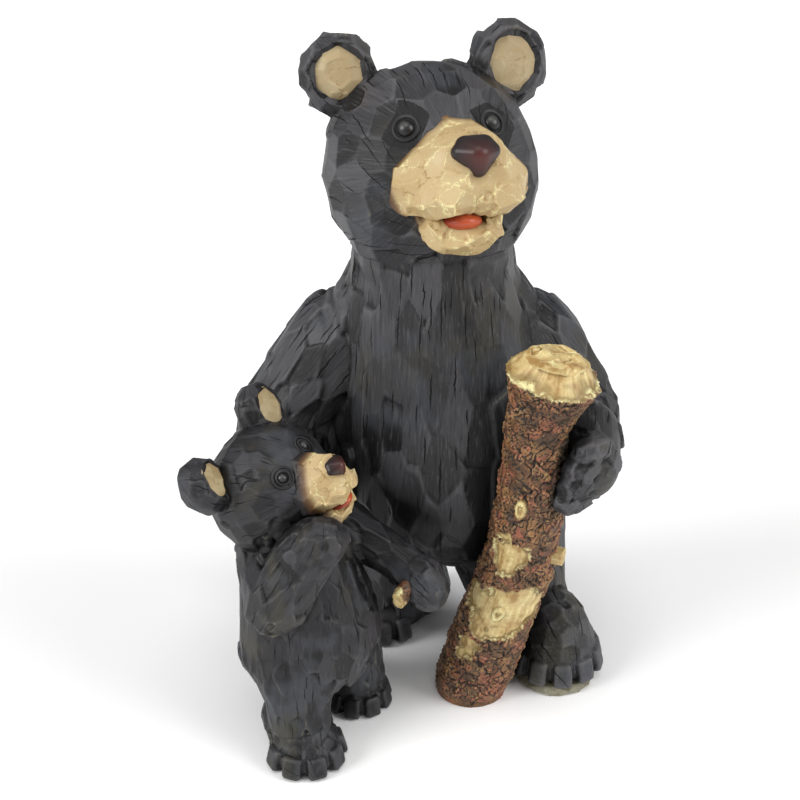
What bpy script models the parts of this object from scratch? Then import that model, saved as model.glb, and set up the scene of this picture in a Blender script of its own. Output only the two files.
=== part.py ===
"""Bear family statue: a mother bear with a log and her cub, one casting that looks chisel-carved.

The figure is massed up from convex hulls of balls, fused by a voxel remesh, cut into flat facets that
run along the grain of each form, thinned to its facets and sawn flat under the feet.
"""

import itertools
import math

import bmesh
import bpy
import numpy as np
from mathutils import Matrix, Vector
from mathutils.bvhtree import BVHTree

# driving dimensions, in metres
OBJECT_NAME = "bear_family"
MOTHER_HEAD = 0.097          # half the width of the mother's skull
CUB_HEAD = 0.060             # half the width of the cub's skull
LOG_RADIUS = 0.0335
PAD_HEIGHT = 0.008           # pad of ground under the mother's left foot
VOXEL = 0.0025               # grid the masses are fused on
FACET_BUDGET = 9600          # triangles kept after thinning
FINE_FACET = 0.0148          # forms with facets narrower than this keep smaller triangles
FINE_KEPT = 0.0003           # pull of the thinning toward those forms
SEED = 11

LOG_STUB = (((0.112, -0.060, 0.185), 0.0088), ((0.1485, -0.074, 0.183), 0.0085))
CUB_STICK = (((0.018, -0.092, 0.171), 0.0080), ((-0.001, -0.114, 0.164), 0.0078))
MOTHER_HEAD_AT = Vector((0.027, 0.050, 0.515))
MOTHER_LOOK = (math.radians(14), math.radians(16), 0.0)       # yaw, pitch, roll
CUB_HEAD_AT = Vector((-0.113, -0.080, 0.261))
CUB_LOOK = (math.radians(57), math.radians(28), math.radians(-19))
LOG_PATH = (((0.066, -0.027, -0.030), 1.03), ((0.073, -0.034, 0.020), 1.01),
            ((0.092, -0.047, 0.097), 0.99), ((0.113, -0.062, 0.180), 0.92),
            ((0.1185, -0.071, 0.255), 0.80), ((0.1170, -0.079, 0.320), 0.71),
            ((0.1240, -0.083, 0.352), 0.98), ((0.1310, -0.086, 0.374), 1.16),
            ((0.1310, -0.086, 0.387), 0.86))

# in head sizes: ears (centre, turn, half size), eye (across, height, depth of its socket),
# snout (length, half width) and how far the muzzle leans aside
MOTHER_FACE = {"ears": (((-0.775, 0.10, 0.86), -0.15, (0.355, 0.24, 0.375)),
                        ((0.810, 0.10, 0.875), 0.15, (0.380, 0.25, 0.400))),
               "eyes": (0.385, 0.325, 0.055), "snout": (1.10, 0.36), "lean": 0.035}
CUB_FACE = {"ears": (((-0.80, 0.16, 0.86), 0.42, (0.41, 0.34, 0.43)),
                     ((0.80, 0.08, 0.86), 0.20, (0.42, 0.33, 0.43))),
            "eyes": (0.34, 0.34, 0.030), "snout": (1.20, 0.25), "lean": 0.0}

# facets: half length along the grain, half width, unevenness
TORSO_CUT = (0.046, 0.0205, 0.0011)
ARM_CUT = (0.036, 0.0180, 0.0011)
LEG_CUT = (0.030, 0.0170, 0.0009)
HEAD_CUT = (0.0245, 0.0225, 0.0008)
EAR_CUT = (0.016, 0.0150, 0.0003)
FACE_CUT = (0.019, 0.0145, 0.0006)
FOOT_CUT = (0.0125, 0.0150, 0.0005)
HAND_CUT = (0.016, 0.0150, 0.0007)
CUB_CUT = (0.025, 0.0120, 0.0008)
CUB_HEAD_CUT = (0.0155, 0.0140, 0.0005)
CUB_EAR_CUT = (0.010, 0.0100, 0.0003)
CUB_FACE_CUT = (0.012, 0.0090, 0.0004)
CUB_FOOT_CUT = (0.010, 0.0100, 0.0005)
KNOB_CUT = (0.0085, 0.0075, 0.0006)
BARK_CUT = (0.013, 0.0080, 0.0011)
PAD_CUT = (0.014, 0.0080, 0.0005)
NO_CUT = (0.0, 0.0, 0.0)

UP = Vector((0.0, 0.0, 1.0))
forms = []                   # every rough mass: its mesh, its facets and the grain of the wood
sockets = []                 # single flat cuts: place, way out, grain and size


def frame_at(origin, yaw=0.0, pitch=0.0, roll=0.0):
    """A frame facing its own -Y, turned by yaw toward +X, tipped up by pitch, then rolled."""
    turn = Matrix.Rotation(yaw, 4, "Z") @ Matrix.Rotation(-pitch, 4, "X")
    return Matrix.Translation(origin) @ turn @ Matrix.Rotation(roll, 4, "Y")


def add_form(balls, cut, grain=UP, frame=Matrix()):
    """The convex hull of balls, each (centre, radius) or (centre, (rx, ry, rz))."""
    rough = bmesh.new()
    for centre, radius in balls:
        radii = radius if isinstance(radius, tuple) else (radius,) * 3
        place = frame @ Matrix.Translation(centre) @ Matrix.Diagonal((*radii, 1.0))
        bmesh.ops.create_icosphere(rough, subdivisions=3, radius=1.0, matrix=place)
    spare = bmesh.ops.convex_hull(rough, input=rough.verts)
    inner = {item for item in spare["geom_interior"] + spare["geom_unused"]}
    bmesh.ops.delete(rough, geom=[v for v in rough.verts if v in inner], context="VERTS")
    mesh = bpy.data.meshes.new("form")
    rough.to_mesh(mesh)
    rough.free()
    forms.append((mesh, cut, grain))


def add_block(centre, half, turn, edge):
    """A box with edges rounded by this share of its least half size."""
    girth = edge * min(half)
    corners = itertools.product((-1, 1), repeat=3)
    balls = []
    for corner in corners:
        inset = Vector([sign * (size - girth) for sign, size in zip(corner, half)])
        balls.append((Vector(centre) + turn @ inset, girth))
    add_form(balls, NO_CUT)


def limb(points, cut, frame=Matrix()):
    """A chain of tapering lengths through (centre, radius) points, grained along each length."""
    for (start, r0), (end, r1) in zip(points, points[1:]):
        along = frame.to_3x3() @ (Vector(end) - Vector(start))
        add_form([(start, r0), (end, r1)], cut, along.normalized(), frame)


def scaled(size, *values):
    """Numbers given in head sizes, as metres."""
    return tuple(size * value for value in values)


def bear_head(origin, look, size, face, head_cut, face_cut, ear_cut):
    """Skull, cheeks, muzzle, jaw, tongue, nose, eyes and round ears, all in head sizes."""
    frame = frame_at(origin, *look)
    pole = frame @ Vector(scaled(size, 0.0, -0.9, 0.0))
    length, broad = face["snout"]
    lean = face["lean"]
    middle = lean + 0.02
    tip = 0.16 + length

    def mass(cut, *balls):
        placed = [(scaled(size, *centre), scaled(size, *radii)) for centre, radii in balls]
        add_form(placed, cut, pole, frame)

    mass(head_cut, ((0.0, 0.04, 0), (0.985, 0.94, 0.93)), ((0.015, 0.04, -0.14), (1.01, 0.90, 0.50)),
         ((0.02, 0.02, -0.36), (0.95, 0.86, 0.60)))
    cheek = 0.14 + 0.53 * broad
    bridge = -0.62 - 0.15 * (length - 1.10)
    mass(face_cut, ((lean, bridge, 0.20), (0.30 * broad / 0.36 + 0.02, 0.22, 0.24)),
         ((middle, -length, -0.05), (broad, 0.22, 0.20 + 0.22 * broad)),
         ((middle, -0.08 - length, 0.12), (0.66 * broad, 0.14, 0.14)),
         ((lean - cheek, -0.80, -0.15), (0.85 * cheek, 0.28, 0.26)),
         ((lean + cheek - 0.02, -0.80, -0.15), (0.85 * cheek, 0.28, 0.26)))
    mass(face_cut, ((lean - 0.02, -0.60, -0.56), (0.33, 0.26, 0.17)),
         ((lean - 0.02, -0.95, -0.615), (0.31, 0.20, 0.14)))
    mass(NO_CUT, ((lean - 0.05, 0.13 - length, -0.475), (0.175, 0.20, 0.085)))
    mass(NO_CUT, ((middle - 0.075, 0.02 - tip, 0.165), (0.085, 0.09, 0.072)),
         ((middle + 0.075, 0.02 - tip, 0.165), (0.085, 0.09, 0.072)),
         ((middle - 0.125, -tip, 0.10), (0.085, 0.09, 0.072)),
         ((middle + 0.125, -tip, 0.10), (0.085, 0.09, 0.072)),
         ((middle, -0.06 - tip, 0.08), (0.12, 0.12, 0.10)),
         ((middle + 0.01, -0.03 - tip, -0.04), (0.075, 0.08, 0.07)))
    for side in (-1, 1):
        mass(head_cut, ((0.45 * side, -0.34, -0.28), (0.41, 0.33, 0.38)))
        lip = middle + 0.55 * broad * side
        mass(face_cut, ((lip, 0.04 - length, -0.27), (0.75 * broad, 0.24, 0.17)),
             ((lean + (cheek - 0.03) * side, -0.78, -0.25), (0.92 * cheek, 0.27, 0.18)))
        mass(NO_CUT, ((lean - 0.02 + 0.27 * side, -0.72, -0.47), (0.10, 0.25, 0.15)),
             ((lean - 0.02 + 0.25 * side, -0.96, -0.55), (0.09, 0.13, 0.14)))
        bear_eye(frame, side, size, face["eyes"])
    for centre, turn, half in face["ears"]:
        bear_ear(frame, centre, turn, half, size, ear_cut)


def bear_eye(head, side, size, eye):
    """An eyeball and its lid ring on the flat of a socket."""
    across, height, depth = eye
    out = 0.04 - 0.94 * math.sqrt(1 - (across / 1.01) ** 2 - (height / 0.93) ** 2)
    skin = head @ Matrix.Translation(scaled(size, across * side, out, height))
    skin = skin @ Matrix.Rotation(1.02 * across * side, 4, "Z") @ Matrix.Rotation(-1.15 * height, 4, "X")
    slant = head.to_3x3() @ Vector((0.42 * side, 0.0, -0.90))
    outward = skin.to_3x3() @ Vector((0.0, -1.0, 0.0))
    sockets.append((skin.translation, outward, slant, scaled(size, 0.26, 0.165, depth)))
    add_form([(scaled(size, 0, depth + 0.035, 0), 0.084 * size)], NO_CUT, UP, skin)
    add_form([(scaled(size, 0, depth + 0.020, 0), scaled(size, 0.125, 0.045, 0.125))], NO_CUT, UP, skin)


def bear_ear(head, centre, turn, half, size, cut):
    """A thick round ear, dished on its front."""
    frame = head @ Matrix.Translation(scaled(size, *centre)) @ Matrix.Rotation(turn, 4, "Z")
    wide, deep, tall = half
    pair = []
    for out, radii in ((0.0, half), (-deep, (0.74 * wide, 0.15, 0.75 * tall))):
        ball = bmesh.new()
        spot = frame @ Matrix.Translation(scaled(size, 0.0, out, -0.02))
        spot = spot @ Matrix.Diagonal((*scaled(size, *radii), 1.0))
        bmesh.ops.create_icosphere(ball, subdivisions=4, radius=1.0, matrix=spot)
        pair.append(ball)
    forms.append((hollowed(*pair), cut, UP))


def hollowed(body, tool):
    """The mesh of body with tool cut away."""
    pair = []
    for name, rough in (("body", body), ("tool", tool)):
        mesh = bpy.data.meshes.new(name)
        rough.to_mesh(mesh)
        rough.free()
        item = bpy.data.objects.new(name, mesh)
        bpy.context.scene.collection.objects.link(item)
        pair.append(item)
    cut = pair[0].modifiers.new("cut", "BOOLEAN")
    cut.operation = "DIFFERENCE"
    cut.object = pair[1]
    graph = bpy.context.evaluated_depsgraph_get()
    result = bpy.data.meshes.new_from_object(pair[0].evaluated_get(graph))
    for item in pair:
        bpy.data.objects.remove(item)
    return result


def mother_body():
    """Barrel torso, neck, arms and legs of the mother."""
    add_form([((0.029, 0.030, 0.462), (0.060, 0.044, 0.030)),
              ((0.036, 0.050, 0.355), (0.079, 0.072, 0.050)),
              ((0.050, 0.062, 0.215), (0.112, 0.108, 0.085)),
              ((0.056, 0.066, 0.150), (0.099, 0.098, 0.030))], TORSO_CUT)
    add_form([((0.030, 0.066, 0.430), (0.073, 0.074, 0.040)),
              ((0.034, 0.078, 0.340), (0.110, 0.074, 0.045))], TORSO_CUT)
    limb([((-0.058, 0.078, 0.329), 0.053), ((-0.115, 0.064, 0.252), 0.047),
          ((-0.112, -0.004, 0.205), 0.034)], ARM_CUT)
    add_form([((-0.110, -0.020, 0.200), (0.031, 0.026, 0.032)),
              ((-0.119, -0.044, 0.182), (0.024, 0.022, 0.028))], ARM_CUT)
    add_form([((-0.030, 0.085, 0.320), 0.055), ((-0.070, 0.075, 0.220), 0.042),
              ((0.000, 0.085, 0.200), 0.060)], ARM_CUT)
    limb([((0.125, 0.080, 0.327), 0.053), ((0.172, 0.070, 0.252), 0.047),
          ((0.170, -0.010, 0.262), 0.035)], ARM_CUT)
    add_form([((0.114, 0.060, 0.160), 0.054), ((0.087, 0.056, 0.138), 0.050),
              ((0.126, 0.044, 0.050), 0.047)], LEG_CUT)
    limb([((-0.004, 0.075, 0.160), 0.056), ((-0.006, 0.085, 0.050), 0.048)], LEG_CUT)


def bear_foot(heel, toe, width, height, cut, toes, toe_height, lift=0.0):
    """A domed foot from heel to toe, with blocky toes in a row round its front."""
    heel, toe = Vector(heel), Vector(toe)
    ahead = (toe - heel).normalized()
    aside = ahead.cross(UP)
    spread = math.radians(165)
    reach = 0.41 * width
    middle = toe - ahead * (reach + 0.075 * width) + UP * lift
    instep = heel.lerp(toe, 0.34) + UP * (0.54 * height + lift)
    add_form([(heel + UP * (0.30 * height + lift), (width * 0.42, width * 0.42, height * 0.50)),
              (instep, (width * 0.40, width * 0.40, height * 0.46)),
              (middle + UP * 0.42 * height, (width * 0.42, width * 0.42, height * 0.36)),
              (middle + UP * 0.5 * toe_height, (width * 0.455, width * 0.455, toe_height * 0.55))],
             cut, ahead)
    half = (reach * spread / (toes - 1) / 2 * 0.88, 0.11 * width, toe_height / 2)
    for index in range(toes):
        turn = (index / (toes - 1) - 0.5) * spread
        out = ahead * math.cos(turn) + aside * math.sin(turn)
        face = Matrix.Rotation(math.atan2(out.x, -out.y), 3, "Z") @ Matrix.Rotation(-0.25, 3, "X")
        add_block(middle + out * reach + UP * 0.52 * toe_height, half, face, 0.45)


def holding_hand():
    """The mother's left hand: a broad mitt whose four blocky fingers lie on the log."""
    add_form([((0.170, -0.030, 0.286), (0.033, 0.036, 0.034)),
              ((0.168, -0.062, 0.277), (0.031, 0.034, 0.038))], HAND_CUT)
    for index, tip in enumerate((0.148, 0.141, 0.136, 0.135)):
        add_block((tip + 0.017, -0.091, 0.3045 - 0.0168 * index), (0.018, 0.0135, 0.0100),
                  Matrix.Rotation(0.55, 3, "Z"), 0.80)


def log():
    """The upright log: a crooked tapering stem, flared at the foot and cut off square at the top."""
    curve = bpy.data.curves.new("log", "CURVE")
    curve.dimensions = "3D"
    curve.bevel_depth = LOG_RADIUS
    curve.bevel_resolution = 6
    curve.use_fill_caps = True
    stem = curve.splines.new("NURBS")
    stem.points.add(len(LOG_PATH) - 1)
    stem.use_endpoint_u = True
    stem.order_u = 3
    for point, (place, swell) in zip(stem.points, LOG_PATH):
        point.co = (*place, 1.0)
        point.radius = swell
    forms.append((solid_of(curve), BARK_CUT, UP))
    limb(LOG_STUB, NO_CUT)


def solid_of(curve):
    """A curve's evaluated tube as a closed mesh."""
    item = bpy.data.objects.new("tube", curve)
    bpy.context.scene.collection.objects.link(item)
    mesh = bpy.data.meshes.new_from_object(item.evaluated_get(bpy.context.evaluated_depsgraph_get()))
    bpy.data.objects.remove(item)
    weld = bmesh.new()
    weld.from_mesh(mesh)
    bmesh.ops.remove_doubles(weld, verts=weld.verts, dist=0.00001)
    weld.to_mesh(mesh)
    weld.free()
    return mesh


def cub_body():
    """Pear-shaped cub with one hand at its chin and the other fist stretched out."""
    add_form([((-0.098, -0.078, 0.205), (0.048, 0.044, 0.030)),
              ((-0.083, -0.084, 0.120), (0.067, 0.060, 0.050)),
              ((-0.089, -0.090, 0.088), (0.062, 0.052, 0.036))], CUB_CUT)
    limb([((-0.122, -0.104, 0.204), 0.025), ((-0.110, -0.142, 0.186), 0.025)], CUB_CUT)
    limb([((-0.107, -0.146, 0.184), 0.029), ((-0.078, -0.144, 0.234), 0.026)], CUB_CUT)
    add_form([((-0.080, -0.146, 0.232), 0.0265),
              ((-0.067, -0.148, 0.250), (0.026, 0.022, 0.019))], KNOB_CUT)
    limb([((-0.060, -0.050, 0.205), 0.026), ((-0.010, -0.072, 0.188), 0.020),
          ((0.016, -0.088, 0.172), 0.020)], CUB_CUT)
    add_form([((0.018, -0.090, 0.172), 0.0225), ((0.026, -0.094, 0.160), 0.0195)], KNOB_CUT)
    limb(CUB_STICK, NO_CUT)
    limb([((-0.098, -0.108, 0.095), 0.038), ((-0.096, -0.124, 0.040), 0.031)], CUB_CUT)
    limb([((-0.056, -0.060, 0.095), 0.036), ((-0.048, -0.048, 0.035), 0.031)], CUB_CUT)


def fused(voxel):
    """All the forms as one skin, with each vertex's form number."""
    joined = bmesh.new()
    owners = []
    for number, (mesh, _, _) in enumerate(forms):
        joined.from_mesh(mesh)
        owners += [number] * (len(joined.faces) - len(owners))
    mesh = bpy.data.meshes.new("masses")
    joined.to_mesh(mesh)
    tree = BVHTree.FromBMesh(joined)
    joined.free()
    item = bpy.data.objects.new("masses", mesh)
    bpy.context.scene.collection.objects.link(item)
    fuse = item.modifiers.new("fuse", "REMESH")
    fuse.mode = "VOXEL"
    fuse.voxel_size = voxel
    soften = item.modifiers.new("soften", "SMOOTH")
    soften.factor = 0.5
    soften.iterations = 4
    graph = bpy.context.evaluated_depsgraph_get()
    skin = bpy.data.meshes.new_from_object(item.evaluated_get(graph))
    bpy.data.objects.remove(item)
    owner = np.array([owners[tree.find_nearest(v.co)[2]] for v in skin.vertices])
    return skin, owner


def vertex_arrays(mesh):
    """Vertex positions and normals as arrays."""
    points = np.empty(len(mesh.vertices) * 3)
    mesh.vertices.foreach_get("co", points)
    normals = np.empty(len(mesh.vertices) * 3)
    mesh.vertices.foreach_get("normal", normals)
    return points.reshape(-1, 3), normals.reshape(-1, 3)


def grain_directions(points, normals, owner):
    """The grain at each vertex, laid into the surface; a form grained by a point radiates from it."""
    grain = np.empty_like(points)
    for number, (_, _, along) in enumerate(forms):
        mine = owner == number
        radial = along.length > 1.001 or along.length < 0.999
        grain[mine] = points[mine] - np.array(along) if radial else np.array(along)
    grain -= normals * (grain * normals).sum(1)[:, None]
    return grain / np.maximum(np.linalg.norm(grain, axis=1), 1e-6)[:, None]


def facet_heights(points, normals, grain, spot, cut, rng):
    """How high the skin near spot stands over one flat facet laid there, and how far off it lies."""
    half_length, half_width, unevenness = cut
    offset = points - points[spot]
    near = np.flatnonzero((offset ** 2).sum(1) < (1.7 * half_length) ** 2)
    offset = offset[near]
    along = offset @ grain[spot] / half_length
    aside = offset @ np.cross(normals[spot], grain[spot]) / half_width
    reach = np.hypot(along, aside)
    flat = (reach < 1.7) & (normals[near] @ normals[spot] > 0.45)
    normal = normals[near[flat & (reach < 0.8)]].mean(0)
    normal /= np.linalg.norm(normal)
    lean = rng.normal(0.0, unevenness, 2)
    height = offset @ normal + lean[0] * along + lean[1] * aside
    height += 0.05 * half_width - height[flat & (reach < 0.6)].mean()
    height /= np.maximum(normals[near] @ normal, 0.45)
    return near[flat], reach[flat], height[flat]


def faceted(points, normals, owner, rng):
    """The skin cut into flat facets side by side, with slightly soft edges between them."""
    cuts = np.array([cut for _, cut, _ in forms])[owner]
    grain = grain_directions(points, normals, owner)
    away = np.full((2, len(points)), 9.0)
    level = np.zeros_like(away)
    open_spot = cuts[:, 0] > 0
    for spot in rng.permutation(len(points)):
        if open_spot[spot]:
            near, reach, height = facet_heights(points, normals, grain, spot, cuts[spot], rng)
            first = reach < away[0, near]
            second = ~first & (reach < away[1, near])
            ahead, behind = near[first], near[second]
            away[1, ahead], level[1, ahead] = away[0, ahead], level[0, ahead]
            away[0, ahead], level[0, ahead] = reach[first], height[first]
            away[1, behind], level[1, behind] = reach[second], height[second]
            open_spot[near[reach < 1.0]] = False
            open_spot[spot] = False
    share = 0.5 + 0.5 * np.clip((away[1] - away[0]) / 0.11, 0, 1)
    limit = 0.13 * cuts[:, 1]
    depth = np.clip(level[0] * share + level[1] * (1 - share), -limit, 1.3 * limit)
    return points - normals * depth[:, None]


def cut_socket(points, normals, place, normal, grain, size):
    """One flat cut with steep sides round an eye."""
    half_length, half_width, depth = size
    normal, grain = np.array(normal), np.array(grain)
    grain -= normal * (grain @ normal)
    grain /= np.linalg.norm(grain)
    offset = points - np.array(place)
    along, aside = offset @ grain / half_length, offset @ np.cross(normal, grain) / half_width
    reach = (along ** 4 + aside ** 4) ** 0.25
    near = (np.linalg.norm(offset, axis=1) < 1.5 * half_length) & (normals @ normal > 0.3)
    cut = np.clip(offset @ normal + depth, 0, 2.5 * depth) * np.clip((1.12 - reach) / 0.16, 0, 1) * near
    return points - cut[:, None] * normal


def carved_statue():
    """The finished skin, cut in facets, in a frame centred under the statue, and its fine spots."""
    skin, owner = fused(VOXEL)
    points, normals = vertex_arrays(skin)
    points = faceted(points, normals, owner, np.random.default_rng(SEED))
    carved = np.array([cut[0] > 0 for _, cut, _ in forms])[owner]
    for place, normal, slant, size in sockets:
        cut = cut_socket(points, normals, place, normal, slant, size)
        points = np.where(carved[:, None], cut, points)
    middle = (points.max(0) + points.min(0)) / 2
    points -= (middle[0], middle[1], 0.0)
    skin.vertices.foreach_set("co", points.ravel())
    skin.update()
    width = np.array([cut[1] for _, cut, _ in forms])[owner]
    return skin, np.flatnonzero(width < FINE_FACET)


def paint():
    """Satin charcoal, the colour that covers most of the casting."""
    material = bpy.data.materials.new("painted_resin")
    material.use_nodes = True
    shader = material.node_tree.nodes["Principled BSDF"]
    shader.inputs["Base Color"].default_value = (0.030, 0.030, 0.034, 1.0)
    shader.inputs["Roughness"].default_value = 0.45
    shader.inputs["Metallic"].default_value = 0.0
    return material


def main():
    for item in list(bpy.data.objects):
        bpy.data.objects.remove(item)
    parts = bpy.data.collections.new(OBJECT_NAME)
    cutters = bpy.data.collections.new("cutters")
    for collection in (parts, cutters):
        bpy.context.scene.collection.children.link(collection)
    mother_body()
    bear_head(MOTHER_HEAD_AT, MOTHER_LOOK, MOTHER_HEAD, MOTHER_FACE, HEAD_CUT, FACE_CUT, EAR_CUT)
    bear_foot((0.142, 0.032, 0), (0.174, -0.046, 0), 0.094, 0.078, FOOT_CUT, 6, 0.026, PAD_HEIGHT)
    add_form([((0.150, 0.010, 0.0), (0.040, 0.040, 1.5 * PAD_HEIGHT)),
              ((0.157, -0.010, 0.0), (0.041, 0.041, 1.5 * PAD_HEIGHT))], PAD_CUT)
    add_form([((0.126, -0.022, 0.0), (0.030, 0.020, PAD_HEIGHT)),
              ((0.080, -0.032, 0.0), (0.032, 0.028, PAD_HEIGHT))], NO_CUT)
    bear_foot((0.020, 0.118, 0), (-0.050, 0.040, 0), 0.086, 0.070, FOOT_CUT, 6, 0.027)
    holding_hand()
    log()
    cub_body()
    bear_head(CUB_HEAD_AT, CUB_LOOK, CUB_HEAD, CUB_FACE, CUB_HEAD_CUT, CUB_FACE_CUT, CUB_EAR_CUT)
    bear_foot((-0.104, -0.092, 0), (-0.075, -0.166, 0), 0.071, 0.052, CUB_FOOT_CUT, 5, 0.022)
    bear_foot((-0.060, -0.022, 0), (-0.026, -0.080, 0), 0.062, 0.050, CUB_FOOT_CUT, 5, 0.021)

    skin, fine_spots = carved_statue()
    statue = bpy.data.objects.new(OBJECT_NAME, skin)
    statue.data.materials.append(paint())
    parts.objects.link(statue)
    thin = statue.modifiers.new("facets", "DECIMATE")
    thin.ratio = FACET_BUDGET / (2.0 * len(statue.data.polygons))
    coarse = statue.vertex_groups.new(name="coarse")
    coarse.add(range(len(skin.vertices)), 1.0, "REPLACE")
    coarse.add(fine_spots.tolist(), 0.5, "REPLACE")
    thin.vertex_group = coarse.name
    thin.vertex_group_factor = FINE_KEPT
    ground = bmesh.new()
    below = Matrix.Translation((0, 0, -0.5)) @ Matrix.Diagonal((2, 2, 1, 1))
    bmesh.ops.create_cube(ground, size=1.0, matrix=below)
    ground_mesh = bpy.data.meshes.new("ground")
    ground.to_mesh(ground_mesh)
    ground.free()
    saw = bpy.data.objects.new("ground_cutter", ground_mesh)
    saw.hide_render = True
    saw.display_type = "WIRE"
    cutters.objects.link(saw)
    sole = statue.modifiers.new("sole", "BOOLEAN")
    sole.operation = "DIFFERENCE"
    sole.object = saw


main()
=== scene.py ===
import itertools
import math

import bmesh
import bpy
import numpy as np
from mathutils import Matrix, Vector
from mathutils.bvhtree import BVHTree
from mathutils.kdtree import KDTree


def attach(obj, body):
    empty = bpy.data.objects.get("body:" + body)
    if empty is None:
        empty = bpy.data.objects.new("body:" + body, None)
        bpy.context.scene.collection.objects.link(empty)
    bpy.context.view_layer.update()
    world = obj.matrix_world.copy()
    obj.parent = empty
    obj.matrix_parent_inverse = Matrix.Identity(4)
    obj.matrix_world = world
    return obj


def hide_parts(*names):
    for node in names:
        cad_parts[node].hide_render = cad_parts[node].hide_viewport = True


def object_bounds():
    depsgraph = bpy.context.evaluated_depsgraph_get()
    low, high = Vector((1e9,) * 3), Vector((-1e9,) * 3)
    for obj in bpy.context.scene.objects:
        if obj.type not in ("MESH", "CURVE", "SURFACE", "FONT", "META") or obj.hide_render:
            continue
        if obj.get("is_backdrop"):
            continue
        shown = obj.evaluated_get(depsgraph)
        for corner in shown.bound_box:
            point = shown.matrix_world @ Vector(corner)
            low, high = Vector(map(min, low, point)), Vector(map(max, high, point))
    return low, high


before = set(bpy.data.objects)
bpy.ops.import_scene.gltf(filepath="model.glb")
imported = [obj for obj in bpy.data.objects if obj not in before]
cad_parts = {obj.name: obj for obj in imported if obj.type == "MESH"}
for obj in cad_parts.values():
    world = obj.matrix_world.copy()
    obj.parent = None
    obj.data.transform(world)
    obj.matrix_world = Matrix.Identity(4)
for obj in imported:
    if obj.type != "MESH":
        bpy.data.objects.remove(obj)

cadLow, cadHigh = (corner.copy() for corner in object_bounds())
nodeName = "bear_family"
up = Vector((0.0, 0.0, 1.0))
print("frame loaded, statue is", [round(v, 3) for v in cadHigh - cadLow], "m")


def smoothStep(value, low, high):
    share = np.clip((value - low) / (high - low), 0, 1)
    return share * share * (3 - 2 * share)


def frameAt(origin, yaw=0.0, pitch=0.0, roll=0.0):
    # faces its own -Y, turned by yaw toward +X, tipped up by pitch, then rolled
    turn = Matrix.Rotation(yaw, 4, "Z") @ Matrix.Rotation(-pitch, 4, "X")
    return Matrix.Translation(origin) @ turn @ Matrix.Rotation(roll, 4, "Y")


def lineGrain(start, end, girth):
    # wood grain that runs straight from start to end round a form of this girth radius
    start = Vector(start)
    along = (Vector(end) - start).normalized()
    front = Vector((0.0, -1.0, 0.0)) if abs(along.y) < 0.8 else up.copy()
    front = (front - along * front.dot(along)).normalized()
    return {"kind": "line", "origin": start, "along": along, "front": front,
            "side": along.cross(front), "girth": girth}


def poleGrain(place, size):
    # grain that fans out over a head from its muzzle
    turn = place.to_3x3()
    return {"kind": "pole", "origin": place.translation.copy(), "girth": size,
            "along": turn @ Vector((0.0, -1.0, 0.0)), "front": turn @ up,
            "side": turn @ Vector((1.0, 0.0, 0.0)), "pole": place @ Vector((0.0, -0.9 * size, 0.0))}


def hullMesh(balls, place=Matrix(), smoothness=3):
    # the convex hull of balls, each (centre, radius) or (centre, (rx, ry, rz))
    rough = bmesh.new()
    for centre, radius in balls:
        radii = radius if isinstance(radius, tuple) else (radius,) * 3
        spot = place @ Matrix.Translation(centre) @ Matrix.Diagonal((*radii, 1.0))
        bmesh.ops.create_icosphere(rough, subdivisions=smoothness, radius=1.0, matrix=spot)
    spare = bmesh.ops.convex_hull(rough, input=rough.verts)
    inner = set(spare["geom_interior"] + spare["geom_unused"])
    bmesh.ops.delete(rough, geom=[v for v in inner if isinstance(v, bmesh.types.BMVert)], context="VERTS")
    mesh = bpy.data.meshes.new("mass")
    rough.to_mesh(mesh)
    rough.free()
    return mesh


def addMass(masses, cut, grain, *balls, place=Matrix(), smoothness=3):
    masses.append({"mesh": hullMesh(balls, place, smoothness), "cut": cuts[cut], "grain": grain})


def addBlock(masses, cut, grain, centre, half, turn, edge):
    # a box whose edges are rounded by this share of its least half size
    girth = edge * min(half)
    balls = []
    for corner in itertools.product((-1, 1), repeat=3):
        inset = Vector([sign * (size - girth) for sign, size in zip(corner, half)])
        balls.append((Vector(centre) + turn @ inset, girth))
    addMass(masses, cut, grain, *balls, smoothness=2)


def addLimb(masses, cut, *points):
    # a chain of tapering lengths through (centre, radius) points, grained along each length
    for (start, startGirth), (end, endGirth) in zip(points, points[1:]):
        grain = lineGrain(start, end, (startGirth + endGirth) / 2)
        addMass(masses, cut, grain, (start, startGirth), (end, endGirth))


def sized(size, *values):
    return tuple(size * value for value in values)


def sizedBalls(size, balls):
    return [(sized(size, *centre), sized(size, *radii)) for centre, radii in balls]


def ringMesh(place, girth, thickness, spokes=40, sides=12):
    # a plain ring that lies across the place's -Y
    turns = np.linspace(0, 2 * math.pi, spokes, endpoint=False)[:, None]
    rounds = np.linspace(0, 2 * math.pi, sides, endpoint=False)[None, :]
    reach = girth + thickness * np.cos(rounds)
    rise = thickness * np.sin(rounds) + 0 * turns
    points = np.stack([reach * np.cos(turns), rise, reach * np.sin(turns)], -1)
    index = np.arange(spokes * sides).reshape(spokes, sides)
    ahead, beside = np.roll(index, -1, 0), np.roll(index, -1, 1)
    quads = np.stack([index, beside, np.roll(ahead, -1, 1), ahead], -1).reshape(-1, 4)
    mesh = bpy.data.meshes.new("ring")
    mesh.from_pydata(points.reshape(-1, 3).tolist(), [], quads.tolist())
    mesh.transform(place)
    return mesh


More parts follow.
